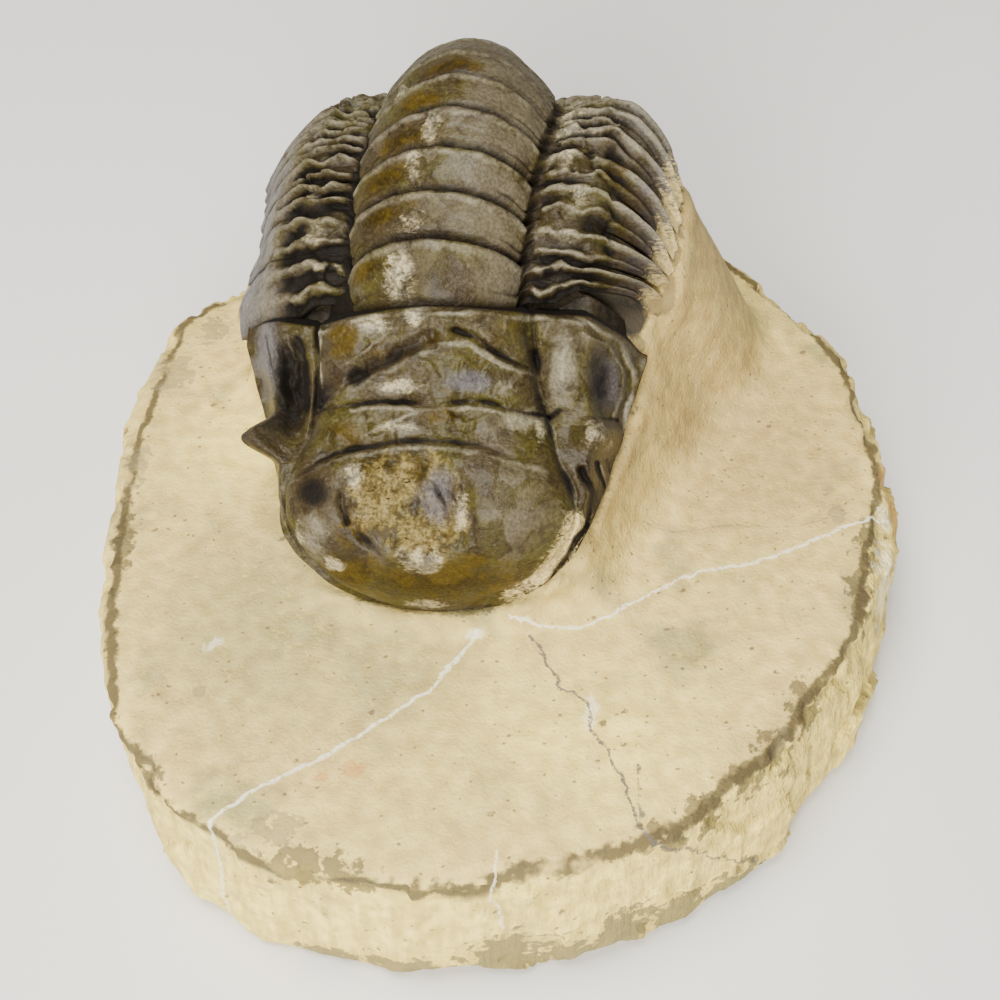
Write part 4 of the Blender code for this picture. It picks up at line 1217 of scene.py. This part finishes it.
def signed_distance(x, y, chain):
    """Distance from a chain, positive on one side of it and negative on the other."""
    nearest = np.full(len(x), np.inf)
    signed = np.full(len(x), FAR_OFF)
    for (ax, ay), (bx, by) in zip(chain, chain[1:]):
        run_x, run_y = bx - ax, by - ay
        length = run_x ** 2 + run_y ** 2
        share = np.clip(((x - ax) * run_x + (y - ay) * run_y) / length, 0.0, 1.0)
        away = np.hypot(x - ax - share * run_x, y - ay - share * run_y)
        side = np.sign(run_x * (y - ay) - run_y * (x - ax))
        closer = away < nearest
        signed = np.where(closer, side * away, signed)
        nearest = np.minimum(nearest, away)
    first, last = np.array(chain[0]), np.array(chain[-1])
    before = (x - first[0]) * (chain[1][0] - first[0]) + (y - first[1]) * (chain[1][1] - first[1]) < 0.0
    after = (x - last[0]) * (last[0] - chain[-2][0]) + (y - last[1]) * (last[1] - chain[-2][1]) > 0.0
    return np.where(before | after, FAR_OFF, signed)


print("lines on the stone:", len((LEFT_VEIN, RIGHT_VEIN, SIDE_VEIN, CRACK, SIDE_CRACK, FINE_CRACK)))

# %% Patches on the stone
# Each patch: centre and half size from above
STONE_DIRT = (((-15.9, -29.0), (3.6, 1.7)), ((-29.3, 3.0), (1.5, 3.4)), ((-27.5, 13.0), (2.4, 3.4)),
              ((-24.6, 18.0), (2.0, 2.4)), ((-22.0, -18.0), (0.9, 0.9)), ((26.6, -2.0), (1.2, 2.4)))
STONE_GREEN = (((-18.0, -12.0), (14.0, 18.0)), ((-8.0, -17.0), (9.0, 8.0)))
STONE_WARM = (((20.0, 6.0), (13.0, 16.0)), ((21.0, -24.0), (6.0, 6.0)))
STONE_BRIGHT = (((7.0, -22.0), (16.0, 10.0)), ((-21.0, 5.0), (7.0, 8.0)))
STONE_RUST = (((-10.3, -24.3), (1.5, 1.3)), ((31.6, 1.0), (2.0, 4.6)), ((-12.6, -24.9), (1.0, 0.7)))
STONE_PALE = (((-1.7, -13.2), (1.3, 0.7)), ((6.6, -19.6), (0.9, 1.8)), ((30.2, -6.0), (1.8, 3.0)),
              ((30.8, -1.6), (1.6, 1.4)), ((-21.4, -14.0), (0.7, 1.1)))
STONE_RIND = (((-13.7, -31.1), (4.2, 1.5)), ((-10.6, -31.7), (3.4, 1.0)), ((11.3, -28.9), (2.4, 1.2)),
              ((14.5, -27.2), (3.0, 1.6)), ((17.4, -24.4), (2.6, 1.8)), ((19.8, -22.2), (2.5, 2.2)),
              ((22.2, -19.0), (2.0, 2.7)), ((27.3, -9.4), (1.4, 5.0)), ((28.6, -5.0), (1.5, 3.2)),
              ((-29.2, -5.0), (1.1, 6.0)), ((-25.0, -24.4), (1.4, 2.0)))
# Old skin left at the foot in front: centre and half size in x and z
STONE_FOOT = (((0.3, 3.0), (4.4, 8.0)), ((5.4, 2.6), (4.2, 6.0)), ((9.2, 3.4), (4.2, 6.4)),
              ((13.4, 2.6), (4.2, 4.6)), ((17.8, 1.8), (4.6, 4.4)), ((-6.4, 1.8), (6.0, 4.2)),
              ((-12.5, 1.4), (4.0, 3.0)))

# %% Build the stone
def build_stone():
    """The shaped skin with a mask for each mark that its material paints."""
    x, y, z = rock_places.T
    masks = {
        "side": rock_side, "rim": rock_inwards, "level": level_height(y, z), "chips": rock_chips,
        "contact": ease(1.0 - rock_gap / 1.1) * ease((0.6 - rock_depth) / 0.4),
        # The gaps beside the head are painted near-black brown as shadow
        "gap": beside_head(rock_places), "old": ovals(x, y, STONE_RIND) * ease((z - 12.0) / 2.0),
        "foot": ovals(x, z, STONE_FOOT) * ease((-16.0 - y) / 4.0), "dirt": ovals(x, y, STONE_DIRT),
        "rust": ovals(x, y, STONE_RUST), "pale": ovals(x, y, STONE_PALE),
        "left_vein": signed_distance(x, y, LEFT_VEIN), "right_vein": signed_distance(x, y, RIGHT_VEIN),
        "crack": signed_distance(x, y, CRACK),
        "side_vein": np.where(y < -30.0, signed_distance(x, z, SIDE_VEIN), FAR_OFF),
        "side_crack": np.where(y < -22.0, signed_distance(x, z, SIDE_CRACK), FAR_OFF),
        "fine_crack": signed_distance(x, y, FINE_CRACK), "green": ovals(x, y, STONE_GREEN),
        "bright": ovals(x, y, STONE_BRIGHT),
        "warm": np.maximum(ovals(x, y, STONE_WARM), 0.7 * ease((z - 17.0) / 6.0)),
    }
    return piece_from(rock, "limestone", rock_places, masks)


limestone = build_stone()

# %% [markdown]
# Node groups
#
# The finishes use the same effects again and again: noise at a real size, ragged masks, thin
# lines and scattered specks. Each is a node group with named sockets. A group only hands out
# masks and values; the shader itself stays in each material, where it can be read and changed.

# %% Short ways to make groups and nodes
def new_group(name, inputs, outputs):
    """An empty group with named sockets, and what goes in and out of its inside."""
    group = bpy.data.node_groups.new(name, "ShaderNodeTree")
    for label, kind, value in inputs:
        socket = group.interface.new_socket(name=label, in_out="INPUT", socket_type=kind)
        if value is not None:
            socket.default_value = value
    for label, kind in outputs:
        group.interface.new_socket(name=label, in_out="OUTPUT", socket_type=kind)
    start = group.nodes.new("NodeGroupInput")
    end = group.nodes.new("NodeGroupOutput")
    return group, start.outputs, end.inputs


def node(tree, kind, values=None, **settings):
    """A node with its settings and the values or links of its inputs."""
    made = tree.nodes.new(kind)
    for key, value in settings.items():
        setattr(made, key, value)
    for key, value in (values or {}).items():
        if isinstance(value, bpy.types.NodeSocket):
            tree.links.new(value, made.inputs[key])
        else:
            made.inputs[key].default_value = value
    return made


def math_node(tree, operation, *values, clamp=False):
    made = node(tree, "ShaderNodeMath", dict(enumerate(values)), operation=operation, use_clamp=clamp)
    return made.outputs[0]


def times(tree, value, factor):
    return math_node(tree, "MULTIPLY", value, factor)


def vector_node(tree, operation, vector, other):
    """A vector scaled by one number, or multiplied by or added to another vector."""
    second = "Scale" if operation == "SCALE" else 1
    made = node(tree, "ShaderNodeVectorMath", {0: vector, second: other}, operation=operation)
    return made.outputs[0]


def spread(tree, value, low, high):
    """0 at low, 1 at high, with a soft change between."""
    made = node(tree, "ShaderNodeMapRange", {"Value": value, "From Min": low, "From Max": high})
    made.interpolation_type = "SMOOTHSTEP"
    return made.outputs["Result"]


# %% Grain: noise at a real size
def grain_group():
    """Noise measured in millimetres on the piece itself."""
    inputs = (("Size", "NodeSocketFloat", 1.0), ("Stretch", "NodeSocketVector", (1.0, 1.0, 1.0)),
              ("Detail", "NodeSocketFloat", 4.0), ("Warp", "NodeSocketFloat", 0.0))
    group, given, result = new_group("Grain", inputs, (("Value", "NodeSocketFloat"),))
    place = node(group, "ShaderNodeTexCoord").outputs["Object"]
    shrink = math_node(group, "DIVIDE", 1.0 / MM, given["Size"])
    scaled = vector_node(group, "MULTIPLY", place, given["Stretch"])
    scaled = vector_node(group, "SCALE", scaled, shrink)
    made = node(group, "ShaderNodeTexNoise", {"Vector": scaled, "Scale": 1.0, "Detail": given["Detail"],
                                              "Roughness": 0.6, "Distortion": given["Warp"]})
    group.links.new(made.outputs[0], result["Value"])
    return group


GRAIN = grain_group()

# %% Ragged: a soft mask turned into a patch with a torn edge
TORN_EDGE = 0.42


def ragged_group():
    """The noise moves the mask up and down; what is then over the edge's value is patch."""
    inputs = (("Mask", "NodeSocketFloat", 0.0), ("Noise", "NodeSocketFloat", 0.5),
              ("Raggedness", "NodeSocketFloat", 0.6), ("Softness", "NodeSocketFloat", 0.12))
    group, given, result = new_group("Ragged", inputs, (("Patch", "NodeSocketFloat"),))
    centred = math_node(group, "SUBTRACT", given["Noise"], 0.5)
    torn = math_node(group, "MULTIPLY_ADD", centred, given["Raggedness"], given["Mask"])
    low = math_node(group, "SUBTRACT", TORN_EDGE, given["Softness"])
    high = math_node(group, "ADD", TORN_EDGE, given["Softness"])
    inside = spread(group, torn, low, high)
    present = spread(group, given["Mask"], 0.0, 0.12)
    group.links.new(times(group, inside, present), result["Patch"])
    return group


RAGGED = ragged_group()

# %% Line: veins and cracks
def line_group():
    """A thin line where a signed distance in millimetres passes through zero."""
    inputs = (("Distance", "NodeSocketFloat", FAR_OFF), ("Width", "NodeSocketFloat", 0.3),
              ("Wander", "NodeSocketFloat", 0.5), ("Noise", "NodeSocketFloat", 0.5))
    group, given, result = new_group("Line", inputs, (("Line", "NodeSocketFloat"),))
    centred = math_node(group, "SUBTRACT", given["Noise"], 0.5)
    moved = math_node(group, "MULTIPLY_ADD", centred, given["Wander"], given["Distance"])
    away = math_node(group, "ABSOLUTE", moved)
    inner = times(group, given["Width"], 0.35)
    group.links.new(spread(group, away, given["Width"], inner), result["Line"])
    return group


LINE = line_group()

# %% Specks: scattered small grains
def specks_group():
    """Each cell may hold one grain, a little drawn out and smaller than the cell."""
    inputs = (("Spacing", "NodeSocketFloat", 1.5), ("Radius", "NodeSocketFloat", 0.25),
              ("Share", "NodeSocketFloat", 0.5), ("Bend", "NodeSocketFloat", 0.5))
    group, given, result = new_group("Specks", inputs, (("Specks", "NodeSocketFloat"),))
    place = node(group, "ShaderNodeTexCoord").outputs["Object"]
    drawn = vector_node(group, "MULTIPLY", place, (0.85, 1.2, 1.0))
    shrink = math_node(group, "DIVIDE", 1.0 / MM, given["Spacing"])
    scaled = vector_node(group, "SCALE", drawn, shrink)
    scaled = vector_node(group, "ADD", scaled, given["Bend"])
    cells = node(group, "ShaderNodeTexVoronoi", {"Vector": scaled, "Scale": 1.0})
    chance = node(group, "ShaderNodeSeparateColor", {0: cells.outputs["Color"]}).outputs
    grown = times(group, chance[1], given["Radius"])
    inside = spread(group, cells.outputs["Distance"], grown, times(group, grown, 0.5))
    there = math_node(group, "LESS_THAN", chance[0], given["Share"])
    group.links.new(times(group, inside, there), result["Specks"])
    return group


SPECKS = specks_group()
print("node groups:", [group.name for group in bpy.data.node_groups])

# %% Short ways to use them in a material
def mask(tree, name):
    """A mask that was kept on the mesh."""
    return node(tree, "ShaderNodeAttribute", attribute_name=name).outputs["Fac"]


def use_group(tree, group, values):
    return node(tree, "ShaderNodeGroup", values, node_tree=group).outputs[0]


def grain(tree, size, detail=4.0, stretch=(1.0, 1.0, 1.0), warp=0.0):
    return use_group(tree, GRAIN, {"Size": size, "Detail": detail, "Stretch": stretch, "Warp": warp})


def torn(tree, name, noise, raggedness, softness=0.15):
    """A mask from the mesh with a torn edge."""
    return use_group(tree, RAGGED, {"Mask": mask(tree, name), "Noise": noise, "Raggedness": raggedness,
                                    "Softness": softness})


def blend(tree, share, low, high, mode="MIX"):
    """Mix two colours, given as sockets or as red, green and blue."""
    low, high = (value if isinstance(value, bpy.types.NodeSocket) else (*value, 1.0)
                 for value in (low, high))
    made = node(tree, "ShaderNodeMix", {0: share, 6: low, 7: high}, data_type="RGBA", blend_type=mode)
    return made.outputs[2]


def raise_by(tree, shader, relief, height):
    """Let a value bump the surface, by a height in millimetres."""
    bump = node(tree, "ShaderNodeBump", {"Strength": 0.5, "Distance": height * MM, "Height": relief})
    tree.links.new(bump.outputs["Normal"], shader.inputs["Normal"])


def lay(tree, colour, paint, where, strength):
    """Lay a paint over a colour where a value says, at most as strongly as given."""
    return blend(tree, times(tree, where, strength), colour, paint)


def new_material(name):
    """A material, its node tree and its shader."""
    made = bpy.data.materials.new(name)
    made.use_nodes = True
    tree = made.node_tree
    return made, tree, tree.nodes["Principled BSDF"]


# %% [markdown]
# The fossil's finish
#
# The shell is dense calcite, brown to olive, polished by the preparator's tools. Its colour lies
# in layers: a mottled ground, a tint for each crystal flake, then patches of beige and lilac, a
# pale colour on what stands proud that is partly painted highlight, amber, peeled ochre and white,
# and last a near-black painted shade in the hollows and on the plates' inner sides. Each layer has
# its own ragged mask, so that no edge is even. A thin coat gives gloss.

# %% Ground of the shell
SHELL_BROWN = (0.041, 0.03, 0.013)
SHELL_OLIVE = (0.05, 0.041, 0.009)
SHELL_UMBER = (0.016, 0.01, 0.005)
SHELL_BLOOM = (0.13, 0.115, 0.078)
SHELL_PALE_HIGHLIGHT = (0.235, 0.21, 0.145)
SHELL_LILAC = (0.08, 0.073, 0.077)
SHELL_BEIGE = (0.09, 0.075, 0.048)
SHELL_RED = (0.026, 0.012, 0.005)
# Near black, for painted shade
SHELL_SHADE = (0.003, 0.0025, 0.002)
AMBER = (0.05, 0.032, 0.003)
AMBER_DARK = (0.02, 0.012, 0.0015)
OCHRE = (0.185, 0.138, 0.046)
OCHRE_DARK = (0.075, 0.053, 0.013)
MILKY = (0.4, 0.34, 0.2)
STONE_DUST = (0.56, 0.44, 0.19)


def shell_ground(tree, broad, middle, fibres, plates):
    """The mottled ground with a tint for each flake."""
    colour = blend(tree, spread(tree, broad, 0.42, 0.6), SHELL_BROWN, SHELL_OLIVE)
    colour = lay(tree, colour, SHELL_UMBER, spread(tree, middle, 0.5, 0.34), 0.55)
    colour = lay(tree, colour, SHELL_BEIGE, spread(tree, plates, 0.5, 1.0), 0.4)
    colour = lay(tree, colour, SHELL_UMBER, spread(tree, plates, 0.4, 0.0), 0.35)
    return lay(tree, colour, SHELL_BLOOM, spread(tree, fibres, 0.58, 0.72), 0.35)


# %% Patches of the shell
def shell_patches(tree, colour, middle, coarse, fine, fibres, plates):
    """Beige, lilac, amber, ochre and white places on the ground."""
    crystal = math_node(tree, "MULTIPLY_ADD", plates, 0.15, times(tree, coarse, 0.45))
    crystal = math_node(tree, "MULTIPLY_ADD", middle, 0.4, crystal)
    splinter = math_node(tree, "MULTIPLY_ADD", plates, 0.15, times(tree, fibres, 0.85))

    def layer(name, noise, raggedness, strength, paint, softness):
        return lay(tree, colour, paint, torn(tree, name, noise, raggedness, softness), strength)

    colour = layer("beige", crystal, 2.4, 0.75, SHELL_BEIGE, 0.4)
    # Pale on what stands proud, partly painted highlight
    colour = layer("crest", middle, 1.2, 0.5, SHELL_PALE_HIGHLIGHT, 0.35)
    honey = blend(tree, spread(tree, crystal, 0.42, 0.58), AMBER_DARK, AMBER)
    colour = layer("amber", crystal, 3.2, 0.95, honey, 0.45)
    crumbs = math_node(tree, "MULTIPLY_ADD", fine, 0.3, times(tree, middle, 0.7))
    ochre = blend(tree, spread(tree, crumbs, 0.4, 0.6), OCHRE_DARK, OCHRE)
    ochre = blend(tree, spread(tree, coarse, 0.5, 0.36), ochre, AMBER)
    ochre = blend(tree, spread(tree, fibres, 0.43, 0.33), ochre, AMBER_DARK)
    colour = layer("peeled", middle, 2.0, 0.85, ochre, 0.3)
    colour = layer("grey", crystal, 1.8, 0.7, SHELL_LILAC, 0.35)
    milky = blend(tree, spread(tree, crumbs, 0.4, 0.6), SHELL_BLOOM, MILKY)
    streaks = math_node(tree, "MULTIPLY_ADD", splinter, 0.5, times(tree, crystal, 0.5))
    colour = layer("white", streaks, 5.0, 0.65, milky, 0.45)
    return layer("dust", splinter, 3.0, 0.85, STONE_DUST, 0.4)


# %% Shell material
def crystal_plates(tree, coarse):
    """A value for each crystal plate, about 2 mm wide and bent by a noise."""
    place = node(tree, "ShaderNodeTexCoord").outputs["Object"]
    bent = vector_node(tree, "MULTIPLY", place, (1.0 / MM,) * 3)
    bent = vector_node(tree, "ADD", bent, coarse)
    cells = node(tree, "ShaderNodeTexVoronoi", {"Vector": bent, "Scale": 0.5})
    return node(tree, "ShaderNodeSeparateColor", {0: cells.outputs["Color"]}).outputs[0]


def shell_gloss(tree, shader, middle, plates, deep):
    """Rough where it is peeled or deep, with a thin coat and a faint bloom elsewhere."""
    peeled = torn(tree, "peeled", middle, 1.8)
    rough = math_node(tree, "MULTIPLY_ADD", middle, 0.3, 0.16)
    rough = math_node(tree, "MULTIPLY_ADD", peeled, 0.3, rough)
    rough = math_node(tree, "MULTIPLY_ADD", deep, 0.3, rough)
    rough = math_node(tree, "MULTIPLY_ADD", plates, 0.12, rough, clamp=True)
    coat = math_node(tree, "MULTIPLY_ADD", deep, -0.06, 0.06, clamp=True)
    tree.links.new(rough, shader.inputs["Roughness"])
    tree.links.new(coat, shader.inputs["Coat Weight"])
    shader.inputs["Coat Roughness"].default_value = 0.12
    shader.inputs["Specular IOR Level"].default_value = 0.1
    shader.inputs["Sheen Weight"].default_value = 0.015
    shader.inputs["Sheen Roughness"].default_value = 0.4
    shader.inputs["Sheen Tint"].default_value = (0.84, 0.8, 0.9, 1.0)


def shell_material():
    made, tree, shader = new_material("mineralised shell")
    broad = grain(tree, 5.5, 3.0, warp=0.3)
    coarse = grain(tree, 2.4, 3.0, warp=0.5)
    middle = grain(tree, 1.1, 3.0, warp=0.4)
    fine = grain(tree, 0.26, 2.0)
    fibres = grain(tree, 0.7, 4.0, stretch=(1.0, 2.6, 2.6), warp=0.8)
    plates = crystal_plates(tree, coarse)
    colour = shell_ground(tree, broad, middle, fibres, plates)
    colour = shell_patches(tree, colour, middle, coarse, fine, fibres, plates)
    colour = lay(tree, colour, SHELL_RED, torn(tree, "hollow_shade", coarse, 1.2, 0.4), 0.5)
    mottled = blend(tree, spread(tree, fine, 0.3, 0.7), (0.7, 0.69, 0.66), (1.3, 1.3, 1.33))
    colour = blend(tree, 0.8, colour, mottled, "MULTIPLY")
    # Painted shade: near black laid in the hollows, in the gaps and on the plates' inner sides
    deep = torn(tree, "hollow_shade", middle, 0.7, 0.3)
    tree.links.new(lay(tree, colour, SHELL_SHADE, deep, 0.9), shader.inputs["Base Color"])
    shell_gloss(tree, shader, middle, plates, deep)
    relief = math_node(tree, "MULTIPLY_ADD", fibres, 0.6, fine)
    relief = math_node(tree, "MULTIPLY_ADD", middle, 1.2, relief)
    relief = math_node(tree, "MULTIPLY_ADD", plates, 0.5, relief)
    raise_by(tree, shader, relief, 0.16)
    return made


SHELL_FINISH = shell_material()
print("shell finish:", len(SHELL_FINISH.node_tree.nodes), "nodes")

# %% [markdown]
# The stone's finish
#
# Dry limestone is matt. On top it is beige with a pink cloud here and a green one there, and it
# is peppered with fine brown grains. The pared sides are a fresher yellow with upright strokes.
# A thin brown rind follows the rim and the foot, where the old weathered surface was left.

# %% Limestone colours
BEIGE = (0.65, 0.505, 0.16)
PINKISH = (0.7, 0.525, 0.175)
GREENISH = (0.37, 0.315, 0.12)
WARM = (0.47, 0.335, 0.118)
FRESH_YELLOW = (0.97, 0.78, 0.2)
SPECK = (0.13, 0.08, 0.032)
RIND = (0.06, 0.042, 0.013)
OLD_SKIN = (0.155, 0.125, 0.045)
DIRT = (0.2, 0.16, 0.075)
RUST = (0.5, 0.2, 0.035)
CHALK = (0.86, 0.79, 0.58)
CRACK_GREY = (0.1, 0.085, 0.075)
JOINT_BROWN_AND_GAP_SHADOW = (0.011, 0.008, 0.005)


def limestone_clouds(tree, clouds, middle, coarse, side):
    """Clouds of colour, the fresher sides and soft shades."""
    colour = blend(tree, spread(tree, grain(tree, 15.0, 2.0), 0.4, 0.62), BEIGE, PINKISH)
    colour = blend(tree, spread(tree, clouds, 0.5, 0.68), colour, GREENISH)
    colour = lay(tree, colour, GREENISH, mask(tree, "green"), 0.8)
    warm = math_node(tree, "MULTIPLY", mask(tree, "warm"), 1.5, clamp=True)
    colour = lay(tree, colour, WARM, warm, 0.85)
    fresh = math_node(tree, "MAXIMUM", times(tree, side, 0.85), times(tree, mask(tree, "bright"), 0.7))
    colour = blend(tree, fresh, colour, FRESH_YELLOW)
    shade = blend(tree, spread(tree, middle, 0.32, 0.68), (0.72, 0.68, 0.6), (1.08, 1.08, 1.05))
    colour = blend(tree, 0.9, colour, shade, "MULTIPLY")
    return lay(tree, colour, GREENISH, spread(tree, coarse, 0.5, 0.66), 0.3)


def limestone_grains(tree, colour, clouds, middle):
    """Fine light and dark grains, and two sizes of scattered brown specks."""
    bend = times(tree, middle, 1.5)
    many = times(tree, spread(tree, clouds, 0.35, 0.6), 0.5)
    large = use_group(tree, SPECKS, {"Spacing": 1.4, "Radius": 0.26, "Share": many, "Bend": bend})
    small = use_group(tree, SPECKS, {"Spacing": 0.62, "Radius": 0.31, "Share": 0.5, "Bend": bend})
    grains = grain(tree, 0.6, 3.0)
    colour = lay(tree, colour, SPECK, spread(tree, grains, 0.5, 0.7), 0.16)
    colour = lay(tree, colour, FRESH_YELLOW, spread(tree, grains, 0.46, 0.3), 0.25)
    colour = lay(tree, colour, SPECK, large, 0.8)
    return lay(tree, colour, SPECK, small, 0.75)


# %% Marks on the limestone
# Each patch: mask, raggedness, strength and colour; the gap patch is painted shadow in the holes beside the
# head
STONE_PATCHES = (("old", 4.2, 0.75, RIND), ("foot", 2.8, 0.85, OLD_SKIN), ("dirt", 3.6, 0.6, DIRT),
                 ("rust", 1.6, 0.5, RUST), ("pale", 3.4, 0.45, CHALK), ("chips", 0.6, 0.25, DIRT),
                 ("contact", 1.4, 0.55, JOINT_BROWN_AND_GAP_SHADOW), ("gap", 0.5, 0.95, JOINT_BROWN_AND_GAP_SHADOW))
# Each line: mask, width and wander in millimetres, strength and colour
STONE_LINES = (("left_vein", 0.2, 1.0, 0.8, CHALK), ("right_vein", 0.2, 1.2, 0.8, CHALK),
               ("side_vein", 0.15, 1.0, 0.7, CHALK), ("crack", 0.17, 1.5, 0.9, CRACK_GREY),
               ("side_crack", 0.17, 1.5, 0.85, CRACK_GREY), ("fine_crack", 0.09, 1.0, 0.4, CRACK_GREY))


def limestone_marks(tree, colour, middle, coarse, fine):
    """Rind, dirt, veins, crack, the joint with the fossil and painted shadow in the gaps beside the head."""
    above = spread(tree, mask(tree, "level"), 13.4, 14.4)
    rim = math_node(tree, "SUBTRACT", mask(tree, "rim"), 0.1)
    rind = use_group(tree, LINE, {"Distance": rim, "Width": 0.5, "Wander": 1.3, "Noise": middle})
    rind = times(tree, times(tree, rind, above), spread(tree, coarse, 0.28, 0.42))
    colour = lay(tree, colour, RIND, rind, 0.9)
    # The stone is laid darker towards the bottom, below about five millimetres
    foot = spread(tree, math_node(tree, "MULTIPLY_ADD", coarse, 9.0, mask(tree, "level")), 5.0, 4.4)
    colour = lay(tree, colour, DIRT, foot, 0.35)
    for name, raggedness, strength, paint in STONE_PATCHES:
        noise = fine if name == "chips" else middle
        colour = lay(tree, colour, paint, torn(tree, name, noise, raggedness), strength)
    broken = spread(tree, fine, 0.3, 0.5)
    for name, width, wander, strength, paint in STONE_LINES:
        line = use_group(tree, LINE, {"Distance": mask(tree, name), "Width": width, "Wander": wander,
                                      "Noise": middle})
        colour = lay(tree, colour, paint, times(tree, line, broken), strength)
    return colour


# %% Limestone material
def limestone_material():
    made, tree, shader = new_material("dry limestone")
    coarse = grain(tree, 3.6, 3.0)
    middle = grain(tree, 1.2, 4.0)
    fine = grain(tree, 0.3, 3.0)
    clouds = grain(tree, 8.0, 3.0)
    strokes = grain(tree, 0.9, 4.0, stretch=(1.0, 1.0, 0.18))
    side = mask(tree, "side")
    colour = limestone_clouds(tree, clouds, middle, coarse, side)
    colour = limestone_grains(tree, colour, clouds, middle)
    dabs = blend(tree, spread(tree, strokes, 0.36, 0.64), (0.8, 0.77, 0.7), (1.12, 1.11, 1.08))
    colour = lay(tree, colour, blend(tree, 1.0, colour, dabs, "MULTIPLY"), side, 0.8)
    colour = limestone_marks(tree, colour, middle, coarse, fine)
    tree.links.new(colour, shader.inputs["Base Color"])
    tree.links.new(math_node(tree, "MULTIPLY_ADD", middle, 0.16, 0.74), shader.inputs["Roughness"])
    relief = math_node(tree, "MULTIPLY_ADD", middle, 2.0, times(tree, fine, 0.6))
    relief = math_node(tree, "MULTIPLY_ADD", times(tree, strokes, side), 4.0, relief)
    raise_by(tree, shader, relief, 0.2)
    return made


LIMESTONE_FINISH = limestone_material()
print("limestone finish:", len(LIMESTONE_FINISH.node_tree.nodes), "nodes")

# %% [markdown]
# Set the pieces on the frame
#
# Each finished piece stands for one solid of the plain model. It rides on the model's only body
# and gets its finish.

# %% Ride, replace and give the finishes
PIECES = [(limestone, "matrix", "matrix", LIMESTONE_FINISH),
          (head_shield, "cephalon", "fossil", SHELL_FINISH),
          (tail_shield, "pygidium", "fossil", SHELL_FINISH)]
for number, ring in enumerate(thorax_rings, start=1):
    PIECES.append((ring, f"thorax_segment_{number:02d}", "fossil", SHELL_FINISH))
for piece, solid, slot, finish in PIECES:
    piece.data.materials.clear()
    piece.data.materials.append(finish)
    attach(piece, "root")
    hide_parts(solid)
print("pieces set:", len(PIECES))

# %% [markdown]
# Floor, light and camera
#
# A fossil is photographed from above with a big soft light, so that its relief shows without
# hard shadows. The main light stands high and a little to the left, a broad one fills in from
# the front left, and the pale floor throws some light back. The camera looks down at 54 degrees.

# %% Lights
MIDDLE = (0.0, 0.0, 0.015)
LAMP_WHITE = (1.0, 0.98, 0.93)


def studio_light(name, place, size, power):
    """A round lamp that looks at the middle of the piece."""
    data = bpy.data.lights.new(name, "AREA")
    data.shape = "DISK"
    data.size = size
    data.energy = power
    data.color = LAMP_WHITE
    light = bpy.data.objects.new(name, data)
    light.location = place
    light.rotation_euler = (Vector(MIDDLE) - Vector(place)).to_track_quat("-Z", "Y").to_euler()
    bpy.context.collection.objects.link(light)


studio_light("main light", (-0.06, -0.03, 0.37), 0.2, 2.3)
studio_light("front light", (-0.08, -0.33, 0.22), 0.26, 3.5)
world = bpy.data.worlds.new("soft room")
world.use_nodes = True
world.node_tree.nodes["Background"].inputs["Color"].default_value = (0.84, 0.83, 0.82, 1.0)
world.node_tree.nodes["Background"].inputs["Strength"].default_value = 0.25
bpy.context.scene.world = world

# %% Floor
FLOOR_HALF = 1.5


def pale_floor():
    mesh = bmesh.new()
    bmesh.ops.create_grid(mesh, x_segments=1, y_segments=1, size=FLOOR_HALF)
    data = bpy.data.meshes.new("floor")
    mesh.to_mesh(data)
    mesh.free()
    floor = bpy.data.objects.new("floor", data)
    bpy.context.collection.objects.link(floor)
    made, _, shader = new_material("pale floor")
    shader.inputs["Base Color"].default_value = (0.72, 0.71, 0.69, 1.0)
    shader.inputs["Roughness"].default_value = 0.6
    data.materials.append(made)


pale_floor()

# %% Camera
CAMERA_ELEVATION = math.radians(54.0)
CAMERA_DISTANCE = 0.133
camera_data = bpy.data.cameras.new("camera")
camera_data.lens = 60.0
camera_data.sensor_width = 36.0
camera_data.clip_start = 0.005
camera = bpy.data.objects.new("camera", camera_data)
bpy.context.collection.objects.link(camera)
towards = Vector((0.0, -math.cos(CAMERA_ELEVATION), math.sin(CAMERA_ELEVATION)))
camera.location = Vector(MIDDLE) + towards * CAMERA_DISTANCE
camera.rotation_euler = (-towards).to_track_quat("-Z", "Y").to_euler()
bpy.context.scene.camera = camera
